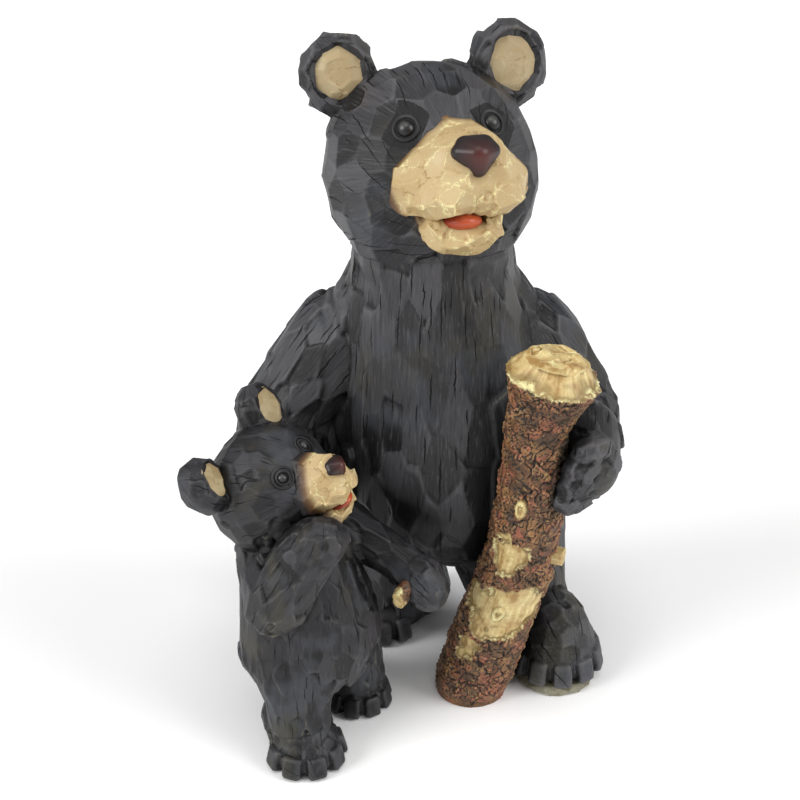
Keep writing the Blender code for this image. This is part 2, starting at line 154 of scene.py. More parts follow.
class Skin:
    # the fused surface of some masses as arrays
    def __init__(self, mesh, masses):
        self.masses = masses
        self.mesh = mesh
        self.points = self.read(mesh.vertices, "co", 3)
        self.normals = self.read(mesh.vertices, "normal", 3)
        self.edges = self.read(mesh.edges, "vertices", 2, np.int64)
        self.degree = np.bincount(self.edges.ravel(), minlength=len(self.points)).astype(float)
        self.layers = {}

    @staticmethod
    def read(items, field, width, kind=np.float64):
        values = np.empty(len(items) * width, dtype=np.float32 if kind is np.float64 else np.int32)
        items.foreach_get(field, values)
        return values.reshape(-1, width).astype(kind)

    def spread(self, values):
        # the mean over each vertex's neighbours
        first, second = self.edges.T
        count = len(values)
        total = [np.bincount(first, column[second], count) + np.bincount(second, column[first], count)
                 for column in values.reshape(count, -1).T]
        return (np.stack(total, 1) / self.degree[:, None]).reshape(values.shape)

    def relax(self, rounds, share):
        for _ in range(rounds):
            self.points += share * (self.spread(self.points) - self.points)

    def refresh(self):
        self.mesh.vertices.foreach_set("co", self.points.astype(np.float32).ravel())
        self.mesh.update()
        self.normals = self.read(self.mesh.vertices, "normal", 3)


def fuse(masses, voxel, softness):
    # all the masses as one skin, with each vertex's mass number
    joined = bmesh.new()
    owners = []
    for number, mass in enumerate(masses):
        joined.from_mesh(mass["mesh"])
        owners += [number] * (len(joined.faces) - len(owners))
    mesh = bpy.data.meshes.new("masses")
    joined.to_mesh(mesh)
    tree = BVHTree.FromBMesh(joined)
    joined.free()
    item = newObject("masses", mesh)
    fusing = item.modifiers.new("fuse", "REMESH")
    fusing.mode = "VOXEL"
    fusing.voxel_size = voxel
    graph = bpy.context.evaluated_depsgraph_get()
    fused = bpy.data.meshes.new_from_object(item.evaluated_get(graph))
    bpy.data.objects.remove(item)
    skin = Skin(fused, masses)
    skin.relax(softness, 0.5)
    skin.refresh()
    skin.owner = np.array([owners[tree.find_nearest(p)[2]] for p in skin.points])
    layGrain(skin)
    return skin


def layGrain(skin):
    # grain direction, crack coordinates (across, along, strength) and streak coordinates
    count = len(skin.points)
    skin.grain = np.zeros((count, 3))
    cracks = np.zeros((count, 3))
    streaks = np.zeros((count, 3))
    for number, mass in enumerate(skin.masses):
        mine = skin.owner == number
        if not mine.any():
            continue
        grain = mass["grain"]
        along, front, side = (np.array(grain[key]) for key in ("along", "front", "side"))
        apart = skin.points[mine] - np.array(grain["origin"])
        turn = np.arctan2(apart @ side, apart @ front)
        if grain["kind"] == "line":
            skin.grain[mine] = along
            level = apart @ along
            around = turn * grain["girth"]
            streaks[mine] = np.stack([apart @ front, apart @ side, level], 1)
        else:
            skin.grain[mine] = skin.points[mine] - np.array(grain["pole"])
            reach = np.linalg.norm(apart, axis=1)
            tilt = np.arccos(np.clip(apart @ along / reach, -1, 1))
            level = tilt * grain["girth"]
            around = turn * grain["girth"] * np.sin(tilt)
            streaks[mine] = np.stack([np.cos(turn), np.sin(turn), tilt], 1) * grain["girth"]
        cracks[mine] = np.stack([around + 0.37 * number, level + 0.61 * number,
                                 np.abs(turn) < math.pi - 0.15], 1)
        streaks[mine] += 0.53 * number
    skin.grain -= skin.normals * (skin.grain * skin.normals).sum(1)[:, None]
    skin.grain /= np.maximum(np.linalg.norm(skin.grain, axis=1), 1e-6)[:, None]
    skin.layers["crackMap"] = cracks
    skin.layers["streakMap"] = streaks


class Grid:
    # finds the points near a spot
    def __init__(self, points, cell=0.012):
        self.cell = cell
        self.low = points.min(0) - cell
        keys = ((points - self.low) / cell).astype(int)
        self.shape = keys.max(0) + 2
        flat = np.ravel_multi_index(keys.T, self.shape)
        self.order = np.argsort(flat, kind="stable")
        self.starts = np.searchsorted(flat[self.order], np.arange(np.prod(self.shape) + 1))

    def near(self, spot, reach):
        low = np.maximum(((spot - reach - self.low) / self.cell).astype(int), 0)
        high = np.minimum(((spot + reach - self.low) / self.cell).astype(int) + 1, self.shape)
        found = []
        for i in range(low[0], high[0]):
            for j in range(low[1], high[1]):
                first = (i * self.shape[1] + j) * self.shape[2]
                found.append(self.order[self.starts[first + low[2]]:self.starts[first + high[2]]])
        return np.concatenate(found)


# in shares of a facet's half size: how far its plane is tried, how high it stands over the skin,
# the soft seam to the next facet and how deep it may cut; facing is how far the skin may turn from it
chisel = {"reach": 1.7, "facing": 0.45, "stand": 0.05, "seam": 0.11, "deepest": 0.13}


def facet(skin, rng):
    # flat facets side by side over every mass, each tipped a little and with its own tone
    cut = np.array([mass["cut"] for mass in skin.masses])[skin.owner]
    grid = Grid(skin.points)
    away = np.full((2, len(skin.points)), 9.0)
    level = np.zeros_like(away)
    tone = np.zeros(len(skin.points))
    openSpot = cut[:, 0] > 0
    count = 0
    for spot in rng.permutation(len(skin.points)):
        if not openSpot[spot]:
            continue
        halfLength, halfWidth, tip = cut[spot]
        normal, grain = skin.normals[spot], skin.grain[spot]
        near = grid.near(skin.points[spot], chisel["reach"] * max(halfLength, halfWidth))
        offset = skin.points[near] - skin.points[spot]
        along = offset @ grain / halfLength
        aside = offset @ np.cross(normal, grain) / halfWidth
        reach = np.hypot(along, aside)
        flat = (reach < chisel["reach"]) & (skin.normals[near] @ normal > chisel["facing"])
        normal = skin.normals[near[flat & (reach < 0.8)]].mean(0)
        normal /= np.linalg.norm(normal)
        facing = np.maximum(skin.normals[near] @ normal, chisel["facing"])
        lean = rng.normal(0.0, tip, 2)
        height = offset @ normal + lean[0] * along + lean[1] * aside
        height = (height - height[flat & (reach < 0.6)].mean() + chisel["stand"] * halfWidth) / facing
        near, reach, height = near[flat], reach[flat], height[flat]
        first = reach < away[0, near]
        second = ~first & (reach < away[1, near])
        ahead, behind = near[first], near[second]
        away[1, ahead], level[1, ahead] = away[0, ahead], level[0, ahead]
        away[0, ahead], level[0, ahead] = reach[first], height[first]
        away[1, behind], level[1, behind] = reach[second], height[second]
        tone[ahead] = rng.normal()
        openSpot[near[reach < 1.0]] = False
        openSpot[spot] = False
        count += 1
    share = 0.5 + 0.5 * np.clip((away[1] - away[0]) / chisel["seam"], 0, 1)
    limit = chisel["deepest"] * cut[:, 1]
    depth = np.clip(level[0] * share + level[1] * (1 - share), -limit, 1.3 * limit)
    skin.points -= skin.normals * skin.spread(depth)[:, None]
    skin.layers["tone"] = tone
    skin.refresh()
    return count


def cutSpot(skin, place, normal, grain, size, dark):
    # one flat cut with steep sides at a chosen place, with painted shade added inside it
    halfLength, halfWidth, depth = size
    normal, place = np.array(normal), np.array(place)
    grain = np.array(grain) - normal * (np.array(grain) @ normal)
    grain /= np.linalg.norm(grain)
    near = Grid(skin.points).near(place, 1.5 * halfLength)
    offset = skin.points[near] - place
    along = offset @ grain / halfLength
    aside = offset @ np.cross(normal, grain) / halfWidth
    reach = (along ** 4 + aside ** 4) ** 0.25
    side = np.clip((1.12 - reach) / 0.16, 0, 1)
    level = offset @ normal + depth
    cut = np.clip(level, 0, 2.5 * depth) * side * (skin.normals[near] @ normal > 0.3)
    skin.points[near] -= cut[:, None] * normal
    # painted shade in the socket, added to the recess shade layer
    skin.layers["shade"][near] += dark * side * (level > 0)
    skin.refresh()


def paintedShade(skin, blockers, reach=0.075, every=9):
    # how deep each point lies in a recess, felt out with rays: 0 in the open, 1 deep inside; it darkens the
    # paint as painted shade
    turns = np.arange(30) + 0.5
    height = 1 - 2 * turns / 30
    around = turns * math.pi * (3 - math.sqrt(5))
    flat = np.sqrt(1 - height ** 2)
    rays = np.stack([flat * np.cos(around), flat * np.sin(around), height], 1)
    aims = [Vector(ray) for ray in rays]
    picked = np.arange(0, len(skin.points), every)
    facing = skin.normals[picked] @ rays.T
    starts = skin.points[picked] + 0.0045 * skin.normals[picked]
    depth = np.zeros(len(picked))
    for row, start in enumerate(starts):
        origin = Vector(start)
        for column in np.flatnonzero(facing[row] > 0.2):
            distance = blockers.ray_cast(origin, aims[column], reach)[3]
            if distance is not None:
                depth[row] += facing[row, column] * (1 - distance / reach)
    depth /= np.where(facing > 0.2, facing, 0).sum(1)
    lookup = KDTree(len(picked))
    for row, start in enumerate(skin.points[picked]):
        lookup.insert(start, row)
    lookup.balance()
    felt = depth[[lookup.find(point)[1] for point in skin.points]]
    for _ in range(10):
        felt += 0.8 * (skin.spread(felt) - felt)
    return felt


def readRelief(skin, voxel):
    # ridges and hollows of the carved skin, fine and broad
    bend = ((skin.spread(skin.points) - skin.points) * skin.normals).sum(1) / voxel
    bend = 0.5 * (bend + skin.spread(bend))
    soft = skin.points.copy()
    for _ in range(24):
        soft += 0.7 * (skin.spread(soft) - soft)
    broad = ((soft - skin.points) * skin.normals).sum(1) / voxel
    skin.layers["relief"] = np.stack([np.clip(-bend * 6.0, 0, 1), np.clip(bend * 6.0, 0, 1),
                                      np.clip(0.5 + broad * 0.25, 0, 1)], 1)


def givePiece(item, material):
    # every piece stands for the casting, rides on its body and takes its finish
    item.data.materials.clear()
    item.data.materials.append(material)
    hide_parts(nodeName)
    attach(item, "root")
    return item


def newObject(name, mesh):
    item = bpy.data.objects.new(name, mesh)
    bpy.context.scene.collection.objects.link(item)
    return item


def addLayers(mesh, layers):
    for name, values in layers.items():
        kind, field = ("FLOAT", "value") if values.ndim == 1 else ("FLOAT_VECTOR", "vector")
        layer = mesh.attributes.new(name, kind, "POINT")
        layer.data.foreach_set(field, values.astype(np.float32).ravel())


def smoothFaces(mesh):
    mesh.polygons.foreach_set("use_smooth", np.ones(len(mesh.polygons), dtype=bool))


def thinned(mesh, budget):
    # the same surface in fewer triangles
    item = newObject("thinning", mesh)
    thin = item.modifiers.new("thin", "DECIMATE")
    thin.ratio = min(1.0, budget / (2.0 * len(mesh.polygons)))
    result = bpy.data.meshes.new_from_object(item.evaluated_get(bpy.context.evaluated_depsgraph_get()))
    bpy.data.objects.remove(item)
    smoothFaces(result)
    return result


def sawn(mesh, level, above):
    # cut level across and closed, and what lies above or below it dropped
    everything = mesh.verts[:] + mesh.edges[:] + mesh.faces[:]
    cut = bmesh.ops.bisect_plane(mesh, geom=everything, dist=0.00001, plane_co=(0, 0, level),
                                 plane_no=(0, 0, 1), clear_outer=above, clear_inner=not above)
    edge = [item for item in cut["geom_cut"] if isinstance(item, bmesh.types.BMEdge)]
    if edge:
        bmesh.ops.edgenet_fill(mesh, edges=edge)
    bmesh.ops.triangulate(mesh, faces=[f for f in mesh.faces if len(f.verts) > 4])


def skinPieces(names, levels, skin, material, shift, budget):
    # pieces that meet on level planes, with the normals of the whole skin along each cut
    skin.points += shift
    skin.refresh()
    addLayers(skin.mesh, skin.layers)
    mesh = thinned(skin.mesh, budget)
    facing = Skin.read(mesh.vertices, "normal", 3)
    addLayers(mesh, {"facing": facing})
    for name, low, high in zip(names, (0.0, *levels), (*levels, None)):
        part = bmesh.new()
        part.from_mesh(mesh)
        sawn(part, low, False)
        if high is not None:
            sawn(part, high, True)
        made = bpy.data.meshes.new(name)
        part.to_mesh(made)
        part.free()
        smoothFaces(made)
        turned = Skin.read(made.attributes["facing"].data, "vector", 3)
        made.normals_split_custom_set_from_vertices(turned.tolist())
        made.attributes.remove(made.attributes["facing"])
        givePiece(newObject(name, made), material)


class Wire:
    # one output socket, so that shader maths reads as arithmetic
    def __init__(self, paint, socket):
        self.paint, self.socket = paint, socket

    def out(self, name):
        return Wire(self.paint, self.socket.node.outputs[name])

    def maths(self, operation, *others, **settings):
        sockets = {index: value for index, value in enumerate((self, *others))}
        return self.paint.node("ShaderNodeMath", {"operation": operation, **settings}, sockets)

    def __add__(self, other):
        return self.maths("ADD", other)

    def __sub__(self, other):
        return self.maths("SUBTRACT", other)

    def __rsub__(self, other):
        return self.paint.node("ShaderNodeMath", {"operation": "SUBTRACT"}, {0: other, 1: self})

    def __mul__(self, other):
        return self.maths("MULTIPLY", other)

    def __truediv__(self, other):
        return self.maths("DIVIDE", other)

    def __pow__(self, other):
        return self.maths("POWER", other)

    __radd__ = __add__
    __rmul__ = __mul__

    def size(self):
        return self.maths("ABSOLUTE")

    def clamp(self):
        return self.maths("ADD", 0.0, use_clamp=True)

    def step(self, low, high):
        # rises smoothly from 0 at low to 1 at high
        return self.paint.node("ShaderNodeMapRange", {"interpolation_type": "SMOOTHSTEP"},
                               {"Value": self, "From Min": low, "From Max": high})


class Paint:
    # a material whose nodes are made one by one
    def __init__(self, name):
        self.material = bpy.data.materials.new(name)
        self.material.use_nodes = True
        self.tree = self.material.node_tree
        self.shader = self.tree.nodes["Principled BSDF"]

    def find(self, sockets, key):
        if isinstance(key, int):
            return sockets[key]
        return next(s for s in sockets if key in (s.identifier, s.name))

    def node(self, kind, settings=None, sockets=None, output=0):
        made = self.tree.nodes.new(kind)
        for name, value in (settings or {}).items():
            setattr(made, name, value)
        for key, value in (sockets or {}).items():
            self.join(value, self.find(made.inputs, key))
        return Wire(self, self.find(made.outputs, output))

    def join(self, value, socket):
        if isinstance(value, Wire):
            self.tree.links.new(value.socket, socket)
        elif isinstance(value, tuple) and len(value) == 3 and len(socket.default_value) == 4:
            socket.default_value = (*value, 1.0)
        else:
            socket.default_value = value

    def layer(self, name):
        return self.node("ShaderNodeAttribute", {"attribute_name": name})

    def mix(self, share, first, second):
        return self.node("ShaderNodeMix", {"data_type": "RGBA", "clamp_factor": True},
                         {"Factor_Float": share, "A_Color": first, "B_Color": second}, "Result_Color")

    def stretch(self, vector, *scales):
        return self.node("ShaderNodeVectorMath", {"operation": "MULTIPLY"}, {0: vector, 1: scales})

    def noise(self, vector, scale, detail=3.0, roughness=0.55):
        return self.node("ShaderNodeTexNoise", {}, {"Vector": vector, "Scale": scale, "Detail": detail,
                                                    "Roughness": roughness})

    def cells(self, vector, scale, feature="F1", flat=False, output="Distance"):
        settings = {"feature": feature, "voronoi_dimensions": "2D" if flat else "3D"}
        return self.node("ShaderNodeTexVoronoi", settings, {"Vector": vector, "Scale": scale}, output)

    def parts(self, vector):
        split = self.node("ShaderNodeSeparateXYZ", {}, {"Vector": vector}, "X")
        return split, split.out("Y"), split.out("Z")

    def bump(self, height, distance, strength):
        sockets = {"Height": height, "Distance": distance, "Strength": strength}
        return self.node("ShaderNodeBump", {}, sockets, "Normal")

    def finish(self, **sockets):
        for key, value in sockets.items():
            self.join(value, self.find(self.shader.inputs, key.replace("_", " ")))
        return self.material


def charcoalPaint(name, look):
    # satin charcoal over chiselled wood: dry-brushed ridges, painted shade in creases, hollows and
    # recesses, cracks along the grain
    paint = Paint(name)
    place = paint.node("ShaderNodeTexCoord", output="Object")
    ridge, crease, broad = paint.parts(paint.layer("relief").out("Vector"))
    tone = paint.layer("tone").out("Fac")
    shade = paint.layer("shade").out("Fac")
    streakMap = paint.layer("streakMap").out("Vector")
    across, along, strength = paint.parts(paint.layer("crackMap").out("Vector"))

    fibres = paint.stretch(streakMap, 1.0, 1.0, look["streakStretch"])
    streak = paint.noise(fibres, look["streakScale"], 4.0, 0.6)
    patch = paint.noise(place, look["patchScale"], 2.0)
    olive = paint.noise(paint.stretch(place, 1.0, 1.0, 0.6), look["oliveScale"], 3.0, 0.6)
    speck = paint.noise(place, 900.0, 2.0)

    # short cracks: one per cell of a map stretched along the grain
    cellWidth, cellLength = look["crackCell"]
    wobble = (paint.noise(streakMap, 110.0, 2.0) - 0.5) * 0.0030
    crackSpot = paint.node("ShaderNodeCombineXYZ", {}, {"X": (across + wobble) / cellWidth,
                                                        "Y": along / cellLength})
    cell = paint.cells(crackSpot, 1.0, flat=True, output="Position")
    offAcross, offAlong, _ = paint.parts(
        paint.node("ShaderNodeVectorMath", {"operation": "SUBTRACT"}, {0: crackSpot, 1: cell}))
    chance, lengthen, _ = paint.parts(cell.out("Color"))
    halfWidth = (1.0 - (offAlong.size() / (0.14 + 0.38 * lengthen)) ** 2.0) * look["crackWidth"]
    crack = (halfWidth - offAcross.size() * cellWidth).step(-0.0001, 0.0002)
    crack = crack * chance.step(look["crackShare"] + 0.01, look["crackShare"] - 0.01) * strength

    colour = paint.mix((0.49 + 0.40 * tone).clamp(), look["dark"], look["mid"])
    colour = paint.mix(patch.step(0.50, 0.66) * 0.65, colour, look["blueGrey"])
    colour = paint.mix(olive.step(0.55, 0.68) * 0.6, colour, look["olive"])
    colour = paint.mix((streak - 0.5).step(0.02, 0.20) * 0.40, colour, look["brushed"])
    colour = paint.mix((0.5 - streak).step(0.02, 0.22) * 0.55, colour, look["dark"])
    colour = paint.mix(broad.step(0.47, 0.30) * 0.45, colour, look["brushed"])
    brush = ridge.step(0.30, 1.00) * (0.6 * streak + 0.8 * olive + 0.8 * patch).step(1.08, 1.36)
    brushColour = paint.mix(olive.step(0.45, 0.55), look["dust"], look["khaki"])
    colour = paint.mix(brush * look["brushShare"], colour, brushColour)
    # painted shade: black in the fine creases and broad hollows of the carving
    colour = paint.mix(crease.step(0.15, 0.8) * 0.8, colour, look["black"])
    colour = paint.mix(broad.step(0.52, 0.80) * 0.9, colour, look["black"])
    # painted shade: black where the rays find a recess and in the eye sockets, also standing for the
    # statue's dark airbrushing there
    hollow = (shade + 0.25 * patch - 0.12).step(look["shadeFrom"], look["shadeFull"])
    colour = paint.mix(hollow * 0.94, colour, look["black"])
    colour = paint.mix(crack, colour, look["black"])
    height = streak * 0.5 + speck * 0.12 - crack * 1.8
    return paint.finish(Base_Color=colour, Roughness=0.36 + 0.24 * streak + 0.2 * crack,
                        Specular_IOR_Level=0.28, Normal=paint.bump(height, 0.0009, 0.8))


def creamPaint(name, look):
    # airbrushed cream with pale crackle on the chisel edges and thin ochre cracks, darkened by painted
    # shade in its creases, seams and recesses
    paint = Paint(name)
    place = paint.node("ShaderNodeTexCoord", output="Object")
    ridge, crease, _ = paint.parts(paint.layer("relief").out("Vector"))
    tone = paint.layer("tone").out("Fac")
    soot = paint.layer("soot").out("Fac")
    scale = look["scale"]
    mottle = paint.noise(place, 45.0 / scale, 4.0, 0.6)
    fine = paint.noise(place, 260.0 / scale, 3.0, 0.6)
    wander = paint.stretch(paint.noise(place, 150.0 / scale, 3.0, 0.7).out("Color"), *(0.011 * scale,) * 3)
    warp = paint.node("ShaderNodeVectorMath", {"operation": "ADD"}, {0: place, 1: wander})
    vein = paint.cells(warp, 40.0 / scale, "DISTANCE_TO_EDGE")
    hair = paint.cells(warp, 95.0 / scale, "DISTANCE_TO_EDGE")
    crackle = (0.022 - vein).step(-0.012, 0.016) * mottle.step(0.44, 0.60)
    crackle = (crackle + (0.035 - hair).step(-0.02, 0.025) * fine.step(0.5, 0.7) * 0.5
               + ridge.step(0.30, 0.9) * (0.6 * mottle + 0.4 * fine).step(0.42, 0.58) * 0.8).clamp()
    ochreEdge = paint.cells(paint.stretch(warp, 0.45, 1.0, 1.4), 26.0 / scale, "DISTANCE_TO_EDGE")
    ochreLine = (0.010 - ochreEdge).step(-0.004, 0.007) * fine.step(0.42, 0.55) * mottle.step(0.53, 0.46)
    colour = paint.mix((0.5 + 0.3 * tone).clamp(), look["deep"], look["cream"])
    colour = paint.mix(mottle.step(0.45, 0.75) * 0.6, colour, look["warm"])
    colour = paint.mix((fine.step(0.5, 0.8)) * 0.22, colour, look["ochre"])
    colour = paint.mix(crackle * look["crackle"], colour, look["pale"])
    # painted shade: ochre in the creases
    colour = paint.mix(crease.step(0.2, 0.9) * 0.55, colour, look["ochre"])
    colour = paint.mix(ochreLine * 0.8, colour, look["ochre"])
    # painted shade toward umber and black, from each piece's own shade rule
    colour = paint.mix(soot.step(0.10, 0.62), colour, look["umber"])
    colour = paint.mix(soot.step(0.45, 1.0), colour, look["black"])
    height = mottle * 0.5 + fine * 0.25 + crackle * 0.5 - ochreLine
    return paint.finish(Base_Color=colour, Roughness=0.42 + 0.2 * fine - 0.1 * crackle,
                        Specular_IOR_Level=0.4, Normal=paint.bump(height, 0.0007 * scale, 0.7))


def woodPaint(name, look):
    # flaky red-brown bark with dark cracks and gilded edges, over bare cream wood; painted shade darkens
    # its creases and where the bears stand close
    paint = Paint(name)
    place = paint.node("ShaderNodeTexCoord", output="Object")
    ridge, crease, _ = paint.parts(paint.layer("relief").out("Vector"))
    peeled, rim, crack = paint.parts(paint.layer("peel").out("Vector"))
    bare = peeled.step(0.0, 0.10)
    plate, flake, fibre = paint.parts(paint.layer("flakes").out("Vector"))
    shade = paint.layer("shade").out("Fac")
    mottle = paint.noise(place, 70.0, 4.0, 0.65)
    fine = paint.noise(place, 420.0, 3.0, 0.6)
    bark = paint.mix(plate.step(0.25, 0.75), look["brown"], look["red"])
    bark = paint.mix(paint.noise(place, 42.0, 3.0, 0.6).step(0.48, 0.58) * 0.8, bark, look["tan"])
    bark = paint.mix(flake.step(0.55, 0.95) * mottle.step(0.42, 0.56) * 0.85, bark, look["pink"])
    bark = paint.mix(mottle.step(0.55, 0.42) * 0.55, bark, look["umber"])
    bark = paint.mix((0.5 - fine).step(0.0, 0.22) * 0.4, bark, look["umber"])
    # painted shade: black in the bark's creases
    bark = paint.mix(crease.step(0.10, 0.7) * 0.9, bark, look["black"])
    bark = paint.mix(crack * 0.7, bark, look["black"])
    gilding = ridge.step(0.40, 1.0) * (mottle + fine - 0.5).step(0.46, 0.62)
    bark = paint.mix(gilding * 0.50, bark, look["gold"])
    streak = 0.30 * fibre + 0.70 * mottle
    wood = paint.mix(streak.step(0.36, 0.52), look["amber"], look["cream"])
    wood = paint.mix(streak.step(0.52, 0.64) * 0.8, wood, look["pale"])
    wood = paint.mix(fine.step(0.52, 0.68) * 0.35, wood, look["amber"])
    wood = paint.mix(ridge.step(0.3, 0.9) * 0.3, wood, look["pale"])
    wood = paint.mix((0.75 * peeled - 0.35 * mottle).step(0.28, 0.0) * 0.75, wood, look["stainAndShade"])
    # painted shade: the same dark as the peel-edge stains, laid in the creases of the bare wood
    wood = paint.mix(crease.step(0.2, 0.9) * 0.7, wood, look["stainAndShade"])
    colour = paint.mix(bare, bark, wood)
    colour = paint.mix(rim * (mottle + 0.4 * fine - 0.2).step(0.46, 0.60), colour, look["rim"])
    # painted shade where the bears stand close to the wood, also standing for the dark overspray near the
    # hand
    colour = paint.mix((shade + 0.4 * mottle - 0.2).step(0.07, 0.50) * 0.90, colour, look["shadeNearBears"])
    height = mottle * 0.4 + fine * 0.5
    return paint.finish(Base_Color=colour, Roughness=0.40 + 0.25 * fine - 0.08 * bare,
                        Specular_IOR_Level=0.4, Normal=paint.bump(height, 0.0010, 0.8))



def glossPaint(name, look):
    # smooth lacquered paint for noses, tongues and eyes, lighter where a painted highlight lies
    paint = Paint(name)
    place = paint.node("ShaderNodeTexCoord", output="Object")
    glow = paint.layer("glow").out("Fac")
    mottle = paint.noise(place, look["mottle"], 3.0, 0.6)
    fine = paint.noise(place, look["mottle"] * 9.0, 2.0)
    # painted highlight: the lighter colour round its chosen spot
    colour = paint.mix((glow * 1.3 * (0.4 + mottle)).clamp(), look["base"], look["glow"])
    return paint.finish(Base_Color=colour, Roughness=look["roughness"] + 0.12 * fine, Coat_Roughness=0.15,
                        Specular_IOR_Level=0.4, Coat_Weight=look["coat"],
                        Normal=paint.bump(mottle * 0.6 + fine * 0.2, 0.0004, 0.5))


# facets of each part: half length along the grain, half width, unevenness
cuts = {"torso": (0.046, 0.0205, 0.0011), "arm": (0.036, 0.0180, 0.0011), "leg": (0.030, 0.0170, 0.0009),
        "head": (0.0245, 0.0225, 0.0008), "ear": (0.016, 0.0150, 0.0003), "foot": (0.0125, 0.0150, 0.0005),
        "hand": (0.0160, 0.0150, 0.0007), "finger": (0.0130, 0.0115, 0.0003), "toe": (0.0, 0.0, 0.0),
        "cub": (0.025, 0.0120, 0.0008), "cubHead": (0.0155, 0.0140, 0.0005),
        "cubEar": (0.010, 0.0100, 0.0003), "cubFoot": (0.0100, 0.0100, 0.0005),
        "knob": (0.0085, 0.0075, 0.0006)}

# headAt and head place and size the head, look turns it sideways, up and over in degrees; the rest is in
# head sizes: ears (centre, turn, half size), eyes (across, height), their socket's depth and lid rings,
# snout (length, half width) and its lean; levels saw the skin into pieces
mother = {"headAt": (0.027, 0.050, 0.515), "look": (14, 16, 0), "head": 0.097, "headCut": "head",
          "earCut": "ear",
          "ears": (((-0.775, 0.10, 0.86), -0.15, (0.355, 0.24, 0.375)),
                   ((0.810, 0.10, 0.875), 0.15, (0.380, 0.25, 0.400))),
          "eyes": (0.385, 0.325), "socket": 0.055, "lids": (0.108,),
          "snout": (1.10, 0.36), "lean": 0.035,
          "voxel": 0.0015, "seed": 21, "levels": (0.190, 0.425),
          "triangles": {"skin": 345000, "Muzzle": 46000, "Jaw": 20000, "EarLinings": 12000}}
cub = {"headAt": (-0.113, -0.080, 0.261), "look": (57, 28, -19), "head": 0.060, "headCut": "cubHead",
       "earCut": "cubEar",
       "ears": (((-0.80, 0.16, 0.86), 0.42, (0.41, 0.34, 0.43)),
                ((0.80, 0.08, 0.86), 0.20, (0.42, 0.33, 0.43))),
       "eyes": (0.34, 0.34), "socket": 0.030, "lids": (0.100, 0.155),
       "snout": (1.20, 0.25), "lean": 0.0,
       "voxel": 0.0012, "seed": 5,
       "triangles": {"skin": 190000, "Muzzle": 32000, "Jaw": 14000, "EarLinings": 9000}}

# what both heads share, in head sizes
skull = {"balls": (((0.000, 0.04, 0), (0.985, 0.94, 0.93)), ((0.015, 0.04, -0.14), (1.01, 0.90, 0.50)),
                   ((0.020, 0.02, -0.36), (0.95, 0.86, 0.60))),
         "cheek": ((0.45, -0.34, -0.28), (0.41, 0.33, 0.38)),
         "brow": (1.01, 0.94, 0.93), "browBack": 0.04, "eyeTurn": (1.02, 1.15),
         "earRoot": (0.6, 0.1, 0.4), "earGirth": 0.3}
dish = {"sag": -0.02, "hollow": (0.74, 0.20, 0.75), "lining": (0.70, 0.06, 0.71), "liningOut": 0.150,
        "cut": (0.16, 0.15, 0.002)}
# eye sockets: dark is how much painted shade each socket gets
eyeSocket = {"slant": (0.42, -0.90), "inward": 0.02, "half": (0.26, 0.165), "dark": 0.75}


def headFrame(figure):
    return frameAt(Vector(figure["headAt"]), *(math.radians(angle) for angle in figure["look"]))


def eyePlace(figure, side):
    # a frame at the eye, facing out of the head
    across, height = figure["eyes"]
    wide, deep, tall = skull["brow"]
    outward, upward = skull["eyeTurn"]
    brow = skull["browBack"] - deep * math.sqrt(1 - (across / wide) ** 2 - (height / tall) ** 2)
    spot = sized(figure["head"], across * side, brow + figure["socket"], height)
    place = headFrame(figure) @ Matrix.Translation(spot) @ Matrix.Rotation(outward * across * side, 4, "Z")
    return place @ Matrix.Rotation(-upward * height, 4, "X")


def earPlace(figure, centre, turn):
    place = Matrix.Translation(sized(figure["head"], *centre))
    return headFrame(figure) @ place @ Matrix.Rotation(turn, 4, "Z")


def earMesh(figure, centre, turn, half):
    # a thick round ear, dished on its front
    size = figure["head"]
    place = earPlace(figure, centre, turn)
    wide, deep, tall = half
    acrossShare, hollowDeep, heightShare = dish["hollow"]
    pair = []
    for out, radii in ((0.0, half), (-deep, (acrossShare * wide, hollowDeep, heightShare * tall))):
        rough = bmesh.new()
        spot = place @ Matrix.Translation(sized(size, 0.0, out, dish["sag"]))
        spot = spot @ Matrix.Diagonal((*sized(size, *radii), 1.0))
        bmesh.ops.create_icosphere(rough, subdivisions=4, radius=1.0, matrix=spot)
        mesh = bpy.data.meshes.new("ear")
        rough.to_mesh(mesh)
        rough.free()
        pair.append(newObject("ear", mesh))
    cut = pair[0].modifiers.new("dish", "BOOLEAN")
    cut.operation = "DIFFERENCE"
    cut.object = pair[1]
    result = bpy.data.meshes.new_from_object(pair[0].evaluated_get(bpy.context.evaluated_depsgraph_get()))
    for item in pair:
        bpy.data.objects.remove(item)
    return result


def headMasses(masses, figure):
    # skull, cheeks and dished ears
    size, place = figure["head"], headFrame(figure)
    grain = poleGrain(place, size)
    addMass(masses, figure["headCut"], grain, *sizedBalls(size, skull["balls"]), place=place)
    (across, out, height), radii = skull["cheek"]
    for side in (-1, 1):
        cheek = ((across * side, out, height), radii)
        addMass(masses, figure["headCut"], grain, *sizedBalls(size, [cheek]), place=place)
    inward, rootBack, rootHeight = skull["earRoot"]
    for centre, turn, half in figure["ears"]:
        root = place @ Vector(sized(size, inward * centre[0], rootBack, rootHeight))
        earGrain = lineGrain(root, place @ Vector(sized(size, *centre)), skull["earGirth"] * size)
        masses.append({"mesh": earMesh(figure, centre, turn, half), "cut": cuts[figure["earCut"]],
                       "grain": earGrain})


# toes fan out round the front of a foot; reach and depth are shares of its width
toeRow = {"spread": 165, "reach": 0.41, "setBack": 0.075, "fill": 0.88, "deep": 0.11, "height": 0.52,
          "tip": -0.25, "edge": 0.45}


